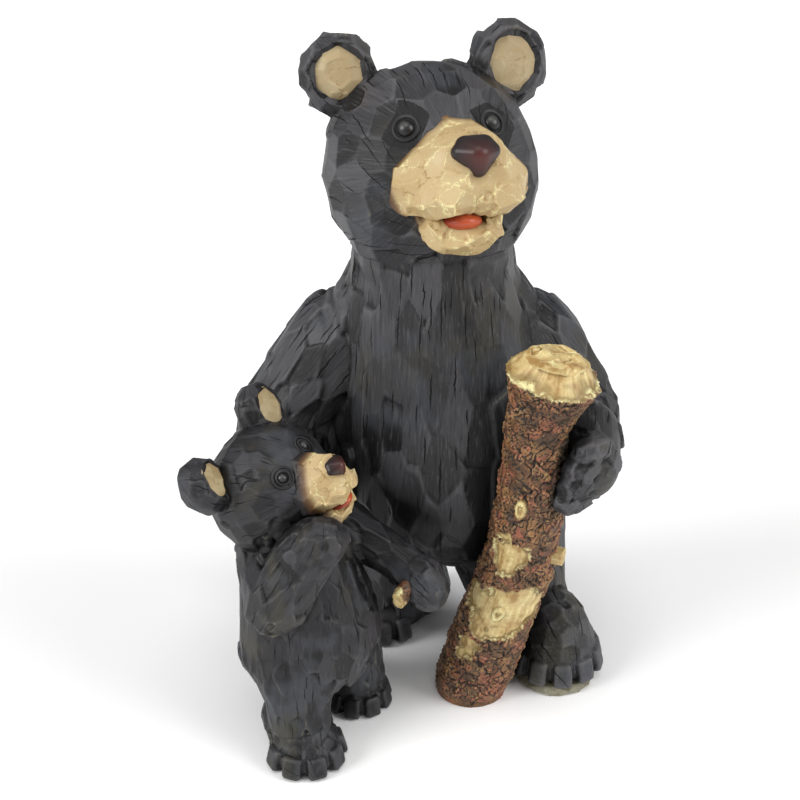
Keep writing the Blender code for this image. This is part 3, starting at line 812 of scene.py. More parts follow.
def footMasses(masses, cut, heel, toe, width, height, toes, toeHeight, lift=0.0):
    # a domed foot from heel to toe with blocky toes in a row round its front
    heel, toe = Vector(heel), Vector(toe)
    ahead = (toe - heel).normalized()
    aside = ahead.cross(up)
    grain = lineGrain(heel, toe, width / 2)
    spread = math.radians(toeRow["spread"])
    reach = toeRow["reach"] * width
    middle = toe - ahead * (reach + toeRow["setBack"] * width) + up * lift
    addMass(masses, cut, grain,
            (heel + up * (0.30 * height + lift), (width * 0.42, width * 0.42, height * 0.50)),
            (heel.lerp(toe, 0.34) + up * (0.54 * height + lift),
             (width * 0.40, width * 0.40, height * 0.46)),
            (middle + up * 0.42 * height, (width * 0.42, width * 0.42, height * 0.36)),
            (middle + up * 0.5 * toeHeight, (width * 0.455, width * 0.455, toeHeight * 0.55)))
    half = (reach * spread / (toes - 1) / 2 * toeRow["fill"], toeRow["deep"] * width, toeHeight / 2)
    for index in range(toes):
        turn = (index / (toes - 1) - 0.5) * spread
        out = ahead * math.cos(turn) + aside * math.sin(turn)
        face = Matrix.Rotation(math.atan2(out.x, -out.y), 3, "Z") @ Matrix.Rotation(toeRow["tip"], 3, "X")
        spot = middle + out * reach + up * toeRow["height"] * toeHeight
        addBlock(masses, "toe", grain, spot, half, face, toeRow["edge"])


# balls as (centre, radius or radii), grain as (start, end, girth), feet as footMasses takes them
motherBody = {
    "spine": ((0.045, 0.072, 0.15), (0.045, 0.072, 0.45), 0.10),
    "belly": (((0.029, 0.030, 0.462), (0.060, 0.044, 0.030)),
              ((0.036, 0.050, 0.355), (0.079, 0.072, 0.050)),
              ((0.050, 0.062, 0.215), (0.112, 0.108, 0.085)),
              ((0.056, 0.066, 0.150), (0.099, 0.098, 0.030))),
    "shoulders": (((0.030, 0.066, 0.430), (0.073, 0.074, 0.040)),
                  ((0.034, 0.078, 0.340), (0.110, 0.074, 0.045))),
    "cubArm": (((-0.058, 0.078, 0.329), 0.053), ((-0.115, 0.064, 0.252), 0.047),
               ((-0.112, -0.004, 0.205), 0.034)),
    "cubHand": (((-0.110, -0.020, 0.200), (0.031, 0.026, 0.032)),
                ((-0.119, -0.044, 0.182), (0.024, 0.022, 0.028))),
    "cubHandGrain": ((-0.110, -0.020, 0.200), (-0.119, -0.044, 0.182), 0.03),
    "flank": (((-0.030, 0.085, 0.320), 0.055), ((-0.070, 0.075, 0.220), 0.042),
              ((0.000, 0.085, 0.200), 0.060)),
    "logArm": (((0.125, 0.080, 0.327), 0.053), ((0.172, 0.070, 0.252), 0.047),
               ((0.170, -0.010, 0.262), 0.035)),
    "logLeg": (((0.114, 0.060, 0.160), 0.054), ((0.087, 0.056, 0.138), 0.050),
               ((0.126, 0.044, 0.050), 0.047)),
    "logLegGrain": ((0.126, 0.044, 0.050), (0.105, 0.059, 0.160), 0.05),
    "cubLeg": (((-0.004, 0.075, 0.160), 0.056), ((-0.006, 0.085, 0.050), 0.048)),
    "logFoot": ((0.142, 0.032, 0), (0.174, -0.046, 0), 0.094, 0.078, 6, 0.026, 0.009),
    "cubFoot": ((0.020, 0.118, 0), (-0.050, 0.040, 0), 0.086, 0.070, 6, 0.027),
    "logHand": (((0.170, -0.030, 0.286), (0.033, 0.036, 0.034)),
                ((0.168, -0.062, 0.277), (0.031, 0.034, 0.038))),
    "logHandGrain": ((0.168, -0.010, 0.275), (0.160, -0.080, 0.265), 0.034),
    "fingers": {"tips": (0.148, 0.141, 0.136, 0.135), "along": 0.017, "out": -0.091, "top": 0.3045,
                "gap": 0.0168, "half": (0.018, 0.0135, 0.0100), "turn": 0.55, "edge": 0.80}}


def motherMasses():
    masses = []
    body = motherBody
    spine = lineGrain(*body["spine"])
    addMass(masses, "torso", spine, *body["belly"])
    addMass(masses, "torso", spine, *body["shoulders"])
    addLimb(masses, "arm", *body["cubArm"])
    addMass(masses, "arm", lineGrain(*body["cubHandGrain"]), *body["cubHand"])
    addMass(masses, "arm", spine, *body["flank"])
    addLimb(masses, "arm", *body["logArm"])
    addMass(masses, "leg", lineGrain(*body["logLegGrain"]), *body["logLeg"])
    addLimb(masses, "leg", *body["cubLeg"])
    footMasses(masses, "foot", *body["logFoot"])
    footMasses(masses, "foot", *body["cubFoot"])
    handGrain = lineGrain(*body["logHandGrain"])
    addMass(masses, "hand", handGrain, *body["logHand"])
    fingers = body["fingers"]
    for index, tip in enumerate(fingers["tips"]):
        spot = (tip + fingers["along"], fingers["out"], fingers["top"] - fingers["gap"] * index)
        turn = Matrix.Rotation(fingers["turn"], 3, "Z")
        addBlock(masses, "finger", handGrain, spot, fingers["half"], turn, fingers["edge"])
    headMasses(masses, mother)
    return masses


cubBody = {
    "spine": ((-0.090, -0.084, 0.08), (-0.096, -0.080, 0.21), 0.06),
    "trunk": (((-0.098, -0.078, 0.205), (0.048, 0.044, 0.030)),
              ((-0.083, -0.084, 0.120), (0.067, 0.060, 0.050)),
              ((-0.089, -0.090, 0.088), (0.062, 0.052, 0.036))),
    "upperArm": (((-0.122, -0.104, 0.204), 0.025), ((-0.110, -0.142, 0.186), 0.025)),
    "foreArm": (((-0.107, -0.146, 0.184), 0.029), ((-0.078, -0.144, 0.234), 0.026)),
    "paw": (((-0.080, -0.146, 0.232), 0.0265), ((-0.067, -0.148, 0.250), (0.026, 0.022, 0.019))),
    "pawGrain": ((-0.090, -0.146, 0.210), (-0.068, -0.146, 0.262), 0.028),
    "stickArm": (((-0.060, -0.050, 0.205), 0.026), ((-0.010, -0.072, 0.188), 0.020),
                 ((0.016, -0.088, 0.172), 0.020)),
    "fist": (((0.018, -0.090, 0.172), 0.0225), ((0.026, -0.094, 0.160), 0.0195)),
    "fistGrain": ((0.010, -0.086, 0.176), (0.028, -0.094, 0.158), 0.02),
    "legs": ((((-0.098, -0.108, 0.095), 0.038), ((-0.094, -0.122, 0.042), 0.030)),
             (((-0.056, -0.060, 0.095), 0.036), ((-0.046, -0.048, 0.035), 0.031))),
    "feet": (((-0.104, -0.092, 0), (-0.075, -0.166, 0), 0.071, 0.052, 5, 0.022),
             ((-0.060, -0.022, 0), (-0.026, -0.080, 0), 0.062, 0.050, 5, 0.021))}


def cubMasses():
    masses = []
    body = cubBody
    addMass(masses, "cub", lineGrain(*body["spine"]), *body["trunk"])
    addLimb(masses, "cub", *body["upperArm"])
    addLimb(masses, "cub", *body["foreArm"])
    addMass(masses, "knob", lineGrain(*body["pawGrain"]), *body["paw"])
    addLimb(masses, "cub", *body["stickArm"])
    addMass(masses, "knob", lineGrain(*body["fistGrain"]), *body["fist"])
    for leg in body["legs"]:
        addLimb(masses, "cub", *leg)
    headMasses(masses, cub)
    for foot in body["feet"]:
        footMasses(masses, "cubFoot", *foot)
    return masses


def carveBear(figure, masses, blockers):
    skin = fuse(masses, figure["voxel"], 3)
    # painted shade: how deep each point lies among the bears and the log
    skin.layers["shade"] = paintedShade(skin, blockers)
    count = facet(skin, np.random.default_rng(figure["seed"]))
    size, depth = figure["head"], figure["socket"]
    across, down = eyeSocket["slant"]
    for side in (-1, 1):
        eye = eyePlace(figure, side)
        spot = eye @ Vector(sized(size, eyeSocket["inward"] * side, -depth, 0.0))
        slant = headFrame(figure).to_3x3() @ Vector((across * side, 0.0, down))
        facing = eye.to_3x3() @ Vector((0, -1, 0))
        cutSpot(skin, spot, facing, slant, sized(size, *eyeSocket["half"], depth), eyeSocket["dark"])
    readRelief(skin, figure["voxel"])
    print("carved", len(skin.points), "points in", count, "facets")
    return skin


# glossy finishes of the small pieces; mottle is cells per head size, and the lighter colour is that of a
# painted highlight
glossLooks = {
    "NosePaint": {"mottle": 3.0, "base": (0.010, 0.0045, 0.0045), "glow": (0.075, 0.014, 0.010),
                  "roughness": 0.40, "coat": 0.10},
    "TonguePaint": {"mottle": 4.0, "base": (0.22, 0.016, 0.006), "glow": (0.46, 0.070, 0.018),
                    "roughness": 0.34, "coat": 0.25},
    "LidPaint": {"mottle": 3.0, "base": (0.0075, 0.0072, 0.0080), "glow": (0.03, 0.03, 0.033),
                 "roughness": 0.48, "coat": 0.0},
    "EyePaint": {"mottle": 4.0, "base": (0.005, 0.005, 0.006), "glow": (0.05, 0.05, 0.048),
                 "roughness": 0.30, "coat": 0.10}}
creamCarving = {"voxel": 0.0085, "cut": (0.20, 0.15, 0.007)}


class Face:
    # what the pieces set into one head share, in head sizes
    def __init__(self, prefix, figure, look, shift):
        self.prefix, self.figure, self.look, self.shift = prefix, figure, look, shift
        self.size, self.place = figure["head"], headFrame(figure)
        self.grain = poleGrain(self.place, self.size)
        self.rng = np.random.default_rng(figure["seed"] + 1)
        self.length, self.broad = figure["snout"]
        self.lean = figure["lean"]
        self.middle = self.lean + 0.02
        self.cheek = 0.14 + 0.53 * self.broad

    def spot(self, *place):
        return self.place @ Vector(sized(self.size, *place))

    def formed(self, *balls, place=None, cut=creamCarving["cut"]):
        mesh = hullMesh(sizedBalls(self.size, balls), self.place if place is None else place, 4)
        return {"mesh": mesh, "cut": sized(self.size, *cut), "grain": self.grain}

    def creamPiece(self, name, forms, paint, creamShadeOf):
        voxel = creamCarving["voxel"] * self.size
        skin = fuse(forms, voxel, 2)
        facet(skin, self.rng)
        skin.relax(1, 0.3)
        skin.refresh()
        readRelief(skin, voxel)
        turn = self.place.to_3x3()
        local = skin.points @ np.array(turn) - np.array(turn.inverted() @ self.place.translation)
        # painted shade over the piece, from its own rule
        skin.layers["soot"] = creamShadeOf(*(local / self.size).T)
        budget = self.figure["triangles"][name]
        skinPieces((self.prefix + name,), (), skin, paint, self.shift, budget)

    def smoothPiece(self, name, meshes, paintName, paintedHighlightAt, paintedHighlightSize):
        joined = bmesh.new()
        for mesh in meshes:
            joined.from_mesh(mesh)
        mesh = bpy.data.meshes.new(self.prefix + name)
        joined.to_mesh(mesh)
        joined.free()
        points = Skin.read(mesh.vertices, "co", 3)
        away = np.min([np.linalg.norm(points - np.array(spot), axis=1) for spot in paintedHighlightAt], axis=0)
        # painted highlight: strongest at the chosen spots and fading with distance
        addLayers(mesh, {"glow": np.exp(-(away / (paintedHighlightSize * self.size)) ** 2)})
        mesh.transform(Matrix.Translation(self.shift))
        smoothFaces(mesh)
        look = glossLooks[paintName]
        paint = glossPaint(self.prefix + paintName, {**look, "mottle": look["mottle"] / self.size})
        givePiece(newObject(self.prefix + name, mesh), paint)


# half sizes of the painted shade along the lip line and round the nose, where it lies and how dark it is
muzzleShade = {"lip": (0.07, 0.25), "lipHeight": -0.02, "lipFront": -0.95, "lipDark": 0.20,
              "nose": (0.20, 0.18), "noseHeight": 0.08, "noseBack": 0.12, "noseDark": 0.45}


def setMuzzle(face, paint):
    length, broad, lean, middle, cheek = face.length, face.broad, face.lean, face.middle, face.cheek
    back = -0.62 - 0.15 * (length - 1.10)
    forms = [face.formed(((lean, back, 0.20), (0.30 * broad / 0.36 + 0.02, 0.22, 0.24)),
                         ((middle, -length, -0.05), (broad, 0.22, 0.20 + 0.22 * broad)),
                         ((middle, -0.08 - length, 0.12), (0.66 * broad, 0.14, 0.14)),
                         ((lean - cheek, -0.80, -0.15), (0.85 * cheek, 0.28, 0.26)),
                         ((lean + cheek - 0.02, -0.80, -0.15), (0.85 * cheek, 0.28, 0.26)))]
    for side in (-1, 1):
        lip = ((middle + 0.55 * broad * side, 0.04 - length, -0.27), (0.75 * broad, 0.24, 0.17))
        jowl = ((lean + (cheek - 0.03) * side, -0.78, -0.25), (0.92 * cheek, 0.27, 0.18))
        forms.append(face.formed(lip, jowl))

    def soot(x, y, z):
        # painted shade along the back edge where the muzzle meets the head, down the lip line and round the
        # nose
        edge = smoothStep(y, *face.look["fade"]) * face.look["paintedShade"]
        wide, tall = muzzleShade["lip"]
        lip = np.exp(-(((x - middle) / wide) ** 2 + ((z - muzzleShade["lipHeight"]) / tall) ** 2))
        wide, tall = muzzleShade["nose"]
        ring = np.exp(-(np.hypot((x - middle) / wide, (z - muzzleShade["noseHeight"]) / tall) ** 4))
        lip *= (y < muzzleShade["lipFront"]) * muzzleShade["lipDark"]
        ring *= (y < muzzleShade["noseBack"] - length) * muzzleShade["noseDark"]
        return np.clip(edge + lip + ring, 0, 1)

    face.creamPiece("Muzzle", forms, paint, soot)


# across from the jaw's own middle; sides are mirrored, lip is the stretch inside the mouth darkened by
# painted shade
jaw = {"middle": -0.02,
       "balls": (((0.0, -0.60, -0.56), (0.33, 0.26, 0.17)), ((0.0, -0.95, -0.615), (0.31, 0.20, 0.14))),
       "sides": (((0.27, -0.72, -0.47), (0.10, 0.25, 0.15)), ((0.25, -0.96, -0.55), (0.09, 0.13, 0.14))),
       "lip": (-0.58, -0.44), "lipWidth": 0.17, "lipDark": 0.6}


def setJaw(face, paint):
    middle = face.lean + jaw["middle"]

    def placed(balls, side=1):
        return [((middle + x * side, y, z), radii) for (x, y, z), radii in balls]

    forms = [face.formed(*placed(jaw["balls"]))]
    forms += [face.formed(*placed(jaw["sides"], side)) for side in (-1, 1)]

    def soot(x, y, z):
        # painted shade along the back edge and inside the lip
        edge = smoothStep(y, *face.look["fade"]) * face.look["paintedShade"]
        return edge + smoothStep(z, *jaw["lip"]) * (np.abs(x - middle) < jaw["lipWidth"]) * jaw["lipDark"]

    face.creamPiece("Jaw", forms, paint, soot)


# rimFrom, rimFull and rimDark: where the painted shade starts and is full toward a lining's rim, and how
# dark it is
earCream = {"crackle": 0.10, "cream": (0.42, 0.335, 0.190), "deep": (0.33, 0.245, 0.125),
            "warm": (0.46, 0.38, 0.235), "rimFrom": 0.30, "rimFull": 0.80, "rimDark": 0.33}


def setEarLinings(face):
    acrossShare, thickness, heightShare = dish["lining"]
    forms, edges = [], []
    for centre, turn, (wide, deep, tall) in face.figure["ears"]:
        place = earPlace(face.figure, centre, turn)
        middle = (0, dish["liningOut"] - deep, dish["sag"])
        radii = (acrossShare * wide, thickness, heightShare * tall)
        forms.append(face.formed((middle, radii), place=place, cut=dish["cut"]))
        edges.append((face.place.inverted() @ place.translation / face.size, wide, tall))

    def soot(x, y, z):
        # painted shade toward the rims, where the lining sinks under the ear's rim
        away = [np.hypot((x - at.x) / wide, (z - at.z) / tall) for at, wide, tall in edges]
        rims = [smoothStep(share, earCream["rimFrom"], earCream["rimFull"]) for share in away]
        return np.min(rims, axis=0) * earCream["rimDark"]

    paint = creamPaint(face.prefix + "EarCream", {**face.look, **earCream})
    face.creamPiece("EarLinings", forms, paint, soot)


# balls of a wide button, from the tip of the snout; a snout of the wide one's half width keeps its size
# the highlight spot and size in this table and the ones below place each piece's painted highlight
nose = {"ahead": 0.16, "height": 0.09, "wideSnout": 0.36, "least": 0.6, "glow": (0.01, -0.18, 0.03),
        "paintedHighlightSize": 0.12,
        "balls": (((-0.075, 0.02, 0.165), (0.085, 0.09, 0.070)),
                  ((0.075, 0.02, 0.165), (0.085, 0.09, 0.070)),
                  ((-0.125, 0.0, 0.10), (0.085, 0.09, 0.075)), ((0.125, 0.0, 0.10), (0.085, 0.09, 0.075)),
                  ((0.0, -0.06, 0.08), (0.12, 0.12, 0.10)), ((0.01, -0.03, -0.04), (0.075, 0.08, 0.070)))}
tongue = {"middle": (-0.05, 0.13, -0.475), "radii": (0.175, 0.20, 0.085), "glow": (-0.02, -0.02, -0.47),
          "paintedHighlightSize": 0.15}
eyeball = {"middle": (0, 0.035, 0), "radii": (0.084, 0.084, 0.084), "glow": (-0.02, -0.05, 0.02),
           "paintedHighlightSize": 0.045}
lid = {"back": 0.002, "thickness": 0.019, "glow": (0.0, -0.02, 0.12), "paintedHighlightSize": 0.08}


def setNose(face):
    tip = nose["ahead"] + face.length
    button = nose["least"] + (1 - nose["least"]) * face.broad / nose["wideSnout"]
    drawn = [((face.middle + button * x, y - tip, nose["height"] + button * (z - nose["height"])),
              sized(button, *radii)) for (x, y, z), radii in nose["balls"]]
    x, y, z = nose["glow"]
    glow = face.spot(face.middle + x, y - tip, z)
    face.smoothPiece("Nose", [face.formed(*drawn)["mesh"]], "NosePaint", [glow], nose["paintedHighlightSize"])


def setTongue(face):
    x, y, z = tongue["middle"]
    form = face.formed(((face.lean + x, y - face.length, z), tongue["radii"]))
    x, y, z = tongue["glow"]
    glow = face.spot(face.lean + x, y - face.length, z)
    face.smoothPiece("Tongue", [form["mesh"]], "TonguePaint", [glow], tongue["paintedHighlightSize"])


def setEyes(face):
    # round eyes, each in one or more rings of lid
    size = face.size
    eyes = [eyePlace(face.figure, side) for side in (-1, 1)]
    back = Matrix.Translation(sized(size, 0, lid["back"], 0))
    rings = [ringMesh(eye @ back, girth * size, lid["thickness"] * size)
             for eye in eyes for girth in face.figure["lids"]]
    paintedHighlights = [eye @ Vector(sized(size, *lid["glow"])) for eye in eyes]
    face.smoothPiece("Lids", rings, "LidPaint", paintedHighlights, lid["paintedHighlightSize"])
    balls = [face.formed((eyeball["middle"], eyeball["radii"]), place=eye)["mesh"] for eye in eyes]
    paintedHighlights = [eye @ Vector(sized(size, *eyeball["glow"])) for eye in eyes]
    face.smoothPiece("Eyes", balls, "EyePaint", paintedHighlights, eyeball["paintedHighlightSize"])


def setFace(prefix, figure, look, shift):
    face = Face(prefix, figure, look, shift)
    paint = creamPaint(prefix + "Cream", look)
    setMuzzle(face, paint)
    setJaw(face, paint)
    setEarLinings(face)
    setNose(face)
    setTongue(face)
    setEyes(face)


class Field:
    # smooth and cellular noise out of one table of random numbers
    def __init__(self, seed, size=32):
        self.size = size
        self.table = np.random.default_rng(seed).random((size, size, size, 4))

    def at(self, cell, channel):
        x, y, z = (cell % self.size).T
        return self.table[x, y, z, channel]

    def smooth(self, spots):
        base = np.floor(spots).astype(int)
        part = spots - base
        part = part * part * (3 - 2 * part)
        total = np.zeros(len(spots))
        for corner in itertools.product((0, 1), repeat=3):
            total += np.prod(np.where(corner, part, 1 - part), axis=1) * self.at(base + corner, 3)
        return total

    def cells(self, spots):
        # how far the nearest seed is, how much farther the next one, and two random numbers of the nearest
        base = np.floor(spots).astype(int)
        nearest = np.full(len(spots), 9.0)
        second = nearest.copy()
        owner = np.zeros_like(base)
        for step in itertools.product((-1, 0, 1), repeat=3):
            cell = base + step
            seed = cell + np.stack([self.at(cell, channel) for channel in range(3)], 1)
            away = np.linalg.norm(seed - spots, axis=1)
            closer = away < nearest
            second = np.where(closer, nearest, np.minimum(second, away))
            owner[closer] = cell[closer]
            nearest = np.minimum(nearest, away)
        return nearest, second - nearest, self.at(owner + 7, 0), self.at(owner + 11, 1)


# path points with their share of the girth, oval as share and turn, bark height and bare collar at the end,
# peeled patches and knots as height, turn from the front, half height and half width
log = {"path": (((0.068, -0.028, -0.020), 1.01), ((0.072, -0.034, 0.015), 0.99),
                ((0.092, -0.047, 0.097), 0.96), ((0.111, -0.060, 0.170), 0.90),
                ((0.1185, -0.070, 0.250), 0.79), ((0.1175, -0.078, 0.310), 0.71),
                ((0.1205, -0.082, 0.342), 0.78), ((0.1300, -0.085, 0.372), 1.13),
                ((0.1310, -0.086, 0.387), 0.80)),
       "girth": 0.0335, "oval": (0.0, 0.0), "bark": 0.0042, "collar": 0.015, "sunk": (0.004, 0.020),
       "rings": 350, "spokes": 208, "cap": 36, "seed": 3,
       "peels": ((0.194, -0.50, 0.018, 0.019), (0.128, -0.10, 0.031, 0.046), (0.070, -0.70, 0.012, 0.012),
                 (0.240, 2.60, 0.030, 0.022), (0.070, 2.90, 0.020, 0.018)),
       "knots": ((0.247, -0.42, 0.0095, 0.0056), (0.124, -0.24, 0.0095, 0.0060))}
stub = {"path": (((0.112, -0.060, 0.185), 0.95), ((0.132, -0.068, 0.184), 1.0),
                 ((0.1495, -0.075, 0.183), 0.90)),
        "girth": 0.0092, "oval": (0.0, 0.0), "bark": 0.0010, "collar": 0.022, "sunk": None,
        "rings": 60, "spokes": 64, "cap": 12, "seed": 9, "peels": (), "knots": ()}
stick = {"path": (((0.020, -0.088, 0.172), 0.95), ((0.006, -0.101, 0.168), 1.0),
                  ((-0.002, -0.115, 0.163), 0.92)),
         "girth": 0.0082, "oval": (0.36, 1.0), "bark": 0.0009, "collar": 0.004, "sunk": None,
         "rings": 50, "spokes": 64, "cap": 12, "seed": 12, "peels": (), "knots": ()}


def woodLine(wood):
    # the smooth middle line of a branch, ring by ring, with its girth
    places = np.array([place for place, _ in wood["path"]])
    spans = np.concatenate([[0], np.cumsum(np.linalg.norm(np.diff(places, axis=0), axis=1))])
    fine = np.linspace(0, spans[-1], wood["rings"])
    line = np.stack([np.interp(fine, spans, places[:, k]) for k in range(3)], 1)
    for _ in range(300):
        line[1:-1] += 0.5 * ((line[:-2] + line[2:]) / 2 - line[1:-1])
    girth = wood["girth"] * np.interp(fine, spans, [share for _, share in wood["path"]])
    return line, girth, fine


def patchReach(wood, points, turn, patch):
    # 0 in the middle of a patch, 1 at its edge
    height, away, halfHeight, halfWidth = patch
    return np.hypot((points[:, 2] - height) / halfHeight, (turn - away) * wood["girth"] / halfWidth)


def bareShare(wood, points, turn, left, field):
    # over 0 where the wood is bare, from wavy-edged patches and the collar
    wave = field.smooth(points / 0.012) + 0.55 * field.smooth(points / 0.0045) - 0.775
    bareness = (wood["collar"] - left) / 0.010 + 1.1 * wave
    for patch in wood["peels"]:
        apart = patchReach(wood, points, turn, patch)
        bareness = np.maximum(bareness, (1 - apart) * patch[2] / 0.0050 + 4.2 * wave)
    return bareness


def barkRelief(wood, points, field):
    # ragged chips of two sizes over a broad lumpiness, with a few deep cracks
    scale = max(0.35, wood["girth"] / log["girth"])
    wander = np.stack([field.smooth(points / 0.006 + k) for k in (3.1, 5.7, 9.3)], 1) - 0.5
    warp = points + 0.007 * scale * wander
    _, gap, plate, lift = field.cells(warp / np.array((0.0105, 0.0105, 0.0150)) / scale)
    near, crumb, flake, rise = field.cells(warp / np.array((0.0048, 0.0048, 0.0066)) / scale)
    lumps = field.smooth(points / 0.018 + 2.2) - 0.5
    crack = smoothStep(gap, 0.13, 0.02) * smoothStep(field.smooth(points / 0.008 + 4.4), 0.45, 0.65)
    height = wood["bark"] * (0.30 + 0.45 * lift + 0.60 * rise * smoothStep(crumb, 0.0, 0.20) - 0.50 * crack
                             + 0.70 * lumps + 0.25 * (near - 0.4))
    if wood["sunk"]:
        height *= 0.35 + 0.65 * smoothStep(points[:, 2], *wood["sunk"])
    return height, crack, plate, flake


def woodMesh(wood):
    # rings round the line, then a cap of shrinking rings with a groove that winds in to the pith
    line, girth, far = woodLine(wood)
    rings, spokes, cap = wood["rings"], wood["spokes"], wood["cap"]
    field = Field(wood["seed"])
    tangent = np.gradient(line, axis=0)
    tangent /= np.linalg.norm(tangent, axis=1)[:, None]
    front = np.array((0.0, -1.0, 0.0)) - tangent * (tangent @ (0.0, -1.0, 0.0))[:, None]
    front /= np.linalg.norm(front, axis=1)[:, None]
    right = np.cross(tangent, front)
    turns = np.linspace(-math.pi, math.pi, spokes, endpoint=False)
    rim = front[:, None] * np.cos(turns)[None, :, None] + right[:, None] * np.sin(turns)[None, :, None]
    rim = np.concatenate([rim, np.repeat(rim[-1:], cap, 0)])
    inward = 1 - np.arange(1, cap + 1) / (cap + 1)
    dome = tangent[-1] * 0.10 * wood["girth"] * (1 - inward ** 3)[:, None]
    line = np.concatenate([line, line[-1] + dome])
    ovalShare, ovalTurn = wood["oval"]
    oval = 1 + ovalShare * np.cos(2 * (turns - ovalTurn))
    girth = np.concatenate([girth, girth[-1] * inward])[:, None] * oval
    points = (line[:, None] + rim * girth[..., None]).reshape(-1, 3)
    turn = np.tile(turns, rings + cap)
    face = np.repeat(np.arange(rings + cap), spokes) >= rings
    left = np.repeat(np.concatenate([far[-1] - far, np.zeros(cap)]), spokes)

    bareness = np.where(face, 5.0, bareShare(wood, points, turn, left, field))
    bare = smoothStep(bareness, -0.10, 0.12)
    peeled = np.clip(0.05 + 0.5 * bareness, 0, 1)
    rimLine = np.exp(-((bareness - 0.05) / 0.16) ** 2) * (~face)

    barkRise, crack, plate, flake = barkRelief(wood, points, field)
    fibre = field.smooth(np.stack([turn * 9.0, points[:, 2] / 0.030, turn * 3.0], 1))
    fibre = 0.6 * fibre + 0.4 * field.smooth(np.stack([turn * 22.0, points[:, 2] / 0.016, turn * 5.0], 1))
    woodRise = wood["bark"] * (0.35 * (fibre - 0.5) + 1.2 * (field.smooth(points / 0.012) - 0.5) - 0.10)
    rise = barkRise * (1 - bare) + woodRise * bare + 0.34 * wood["bark"] * rimLine
    for knot in wood["knots"]:
        apart = patchReach(wood, points, turn, knot)
        rise += smoothStep(apart, 1.15, 0.75) * (0.0030 - 0.0026 * smoothStep(apart, 0.65, 0.25))
        peeled = np.maximum(peeled, 0.6 * smoothStep(apart, 1.2, 1.0))
        rimLine = np.maximum(rimLine, np.exp(-((apart - 0.78) / 0.16) ** 2))
        crack = np.where(apart < 1.2, 0.0, crack)

    # the sawn end: a groove winds round and the surface lies a little uneven
    share = np.repeat(np.concatenate([np.ones(rings), inward]), spokes)
    wander = field.smooth(points / 0.013) + 0.5 * field.smooth(points / 0.005)
    swirl = np.abs((turn / (2 * math.pi) + 1.5 * share + 0.9 * wander) % 1.0 - 0.5)
    groove = smoothStep(swirl, 0.12, 0.0) * smoothStep(share, 0.05, 0.3) * (wander > 0.6) * face
    out = np.where(face[:, None], np.repeat(tangent[-1:], len(points), 0), rim.reshape(-1, 3))
    sawnRise = wood["bark"] * (1.3 * field.smooth(points / 0.010) - 0.55 * groove - 0.5)
    points = points + out * np.where(face, sawnRise, rise)[:, None]
    swirlLine = smoothStep(swirl, 0.24, 0.16) * smoothStep(swirl, 0.08, 0.15) * face * 0.8

    index = np.arange((rings + cap) * spokes).reshape(rings + cap, spokes)
    quads = np.stack([index[:-1], np.roll(index[:-1], -1, 1), np.roll(index[1:], -1, 1), index[1:]], -1)
    ends = [index[0][::-1].tolist(), index[-1].tolist()]
    mesh = bpy.data.meshes.new("wood")
    mesh.from_pydata(points.tolist(), [], quads.reshape(-1, 4).tolist() + ends)
    skin = Skin(mesh, [])
    skin.layers["peel"] = np.stack([peeled, np.maximum(rimLine, swirlLine), crack * (1 - bare)], 1)
    skin.layers["flakes"] = np.stack([plate, flake, np.where(face, 0.3 + 0.5 * swirl, fibre)], 1)
    return skin


woodSkin = {"shadeReach": 0.05, "shadeEvery": 5, "relief": 0.0010, "triangles": 400000}


def woodPiece(name, wood, material, blockers, shift):
    skin = woodMesh(wood)
    # painted shade from how close the bears stand to the wood
    skin.layers["shade"] = paintedShade(skin, blockers, woodSkin["shadeReach"], woodSkin["shadeEvery"])
    readRelief(skin, woodSkin["relief"])
    skinPieces((name,), (), skin, material, shift, woodSkin["triangles"])


sole = {"balls": (((0.150, 0.010, 0.003), (0.040, 0.040, 0.0095)),
                  ((0.157, -0.010, 0.003), (0.041, 0.041, 0.0095))),
        "cut": (0.014, 0.008, 0.0005), "grain": ((0.11, -0.03, 0), (0.19, -0.03, 0), 0.04),
        "voxel": 0.0010, "seed": 4, "triangles": 20000}


def solePiece(name, material, shift):
    # the pale pad that shows under the lifted foot
    form = {"mesh": hullMesh(sole["balls"]), "cut": sole["cut"], "grain": lineGrain(*sole["grain"])}
    pad = fuse([form], sole["voxel"], 1)
    facet(pad, np.random.default_rng(sole["seed"]))
    readRelief(pad, sole["voxel"])
    pad.layers["soot"] = np.zeros(len(pad.points))
    skinPieces((name,), (), pad, material, shift, sole["triangles"])


charcoal = {"dark": (0.0075, 0.0072, 0.0080), "mid": (0.062, 0.060, 0.064),
            "blueGrey": (0.052, 0.056, 0.064), "olive": (0.040, 0.037, 0.020),
            "brushed": (0.108, 0.105, 0.112), "dust": (0.15, 0.15, 0.14), "khaki": (0.17, 0.15, 0.08),
            "black": (0.0022, 0.0022, 0.0025), "brushShare": 0.75,
            "streakStretch": 0.07, "streakScale": 420.0, "patchScale": 16.0, "oliveScale": 11.0,
            "crackCell": (0.0105, 0.050), "crackWidth": 0.00078, "crackShare": 0.55,
            "shadeFrom": 0.07, "shadeFull": 0.34}
cubCharcoal = {**charcoal, "mid": (0.030, 0.0285, 0.032), "brushed": (0.060, 0.058, 0.062),
               "crackCell": (0.0085, 0.032), "crackWidth": 0.00048, "patchScale": 24.0, "oliveScale": 20.0}
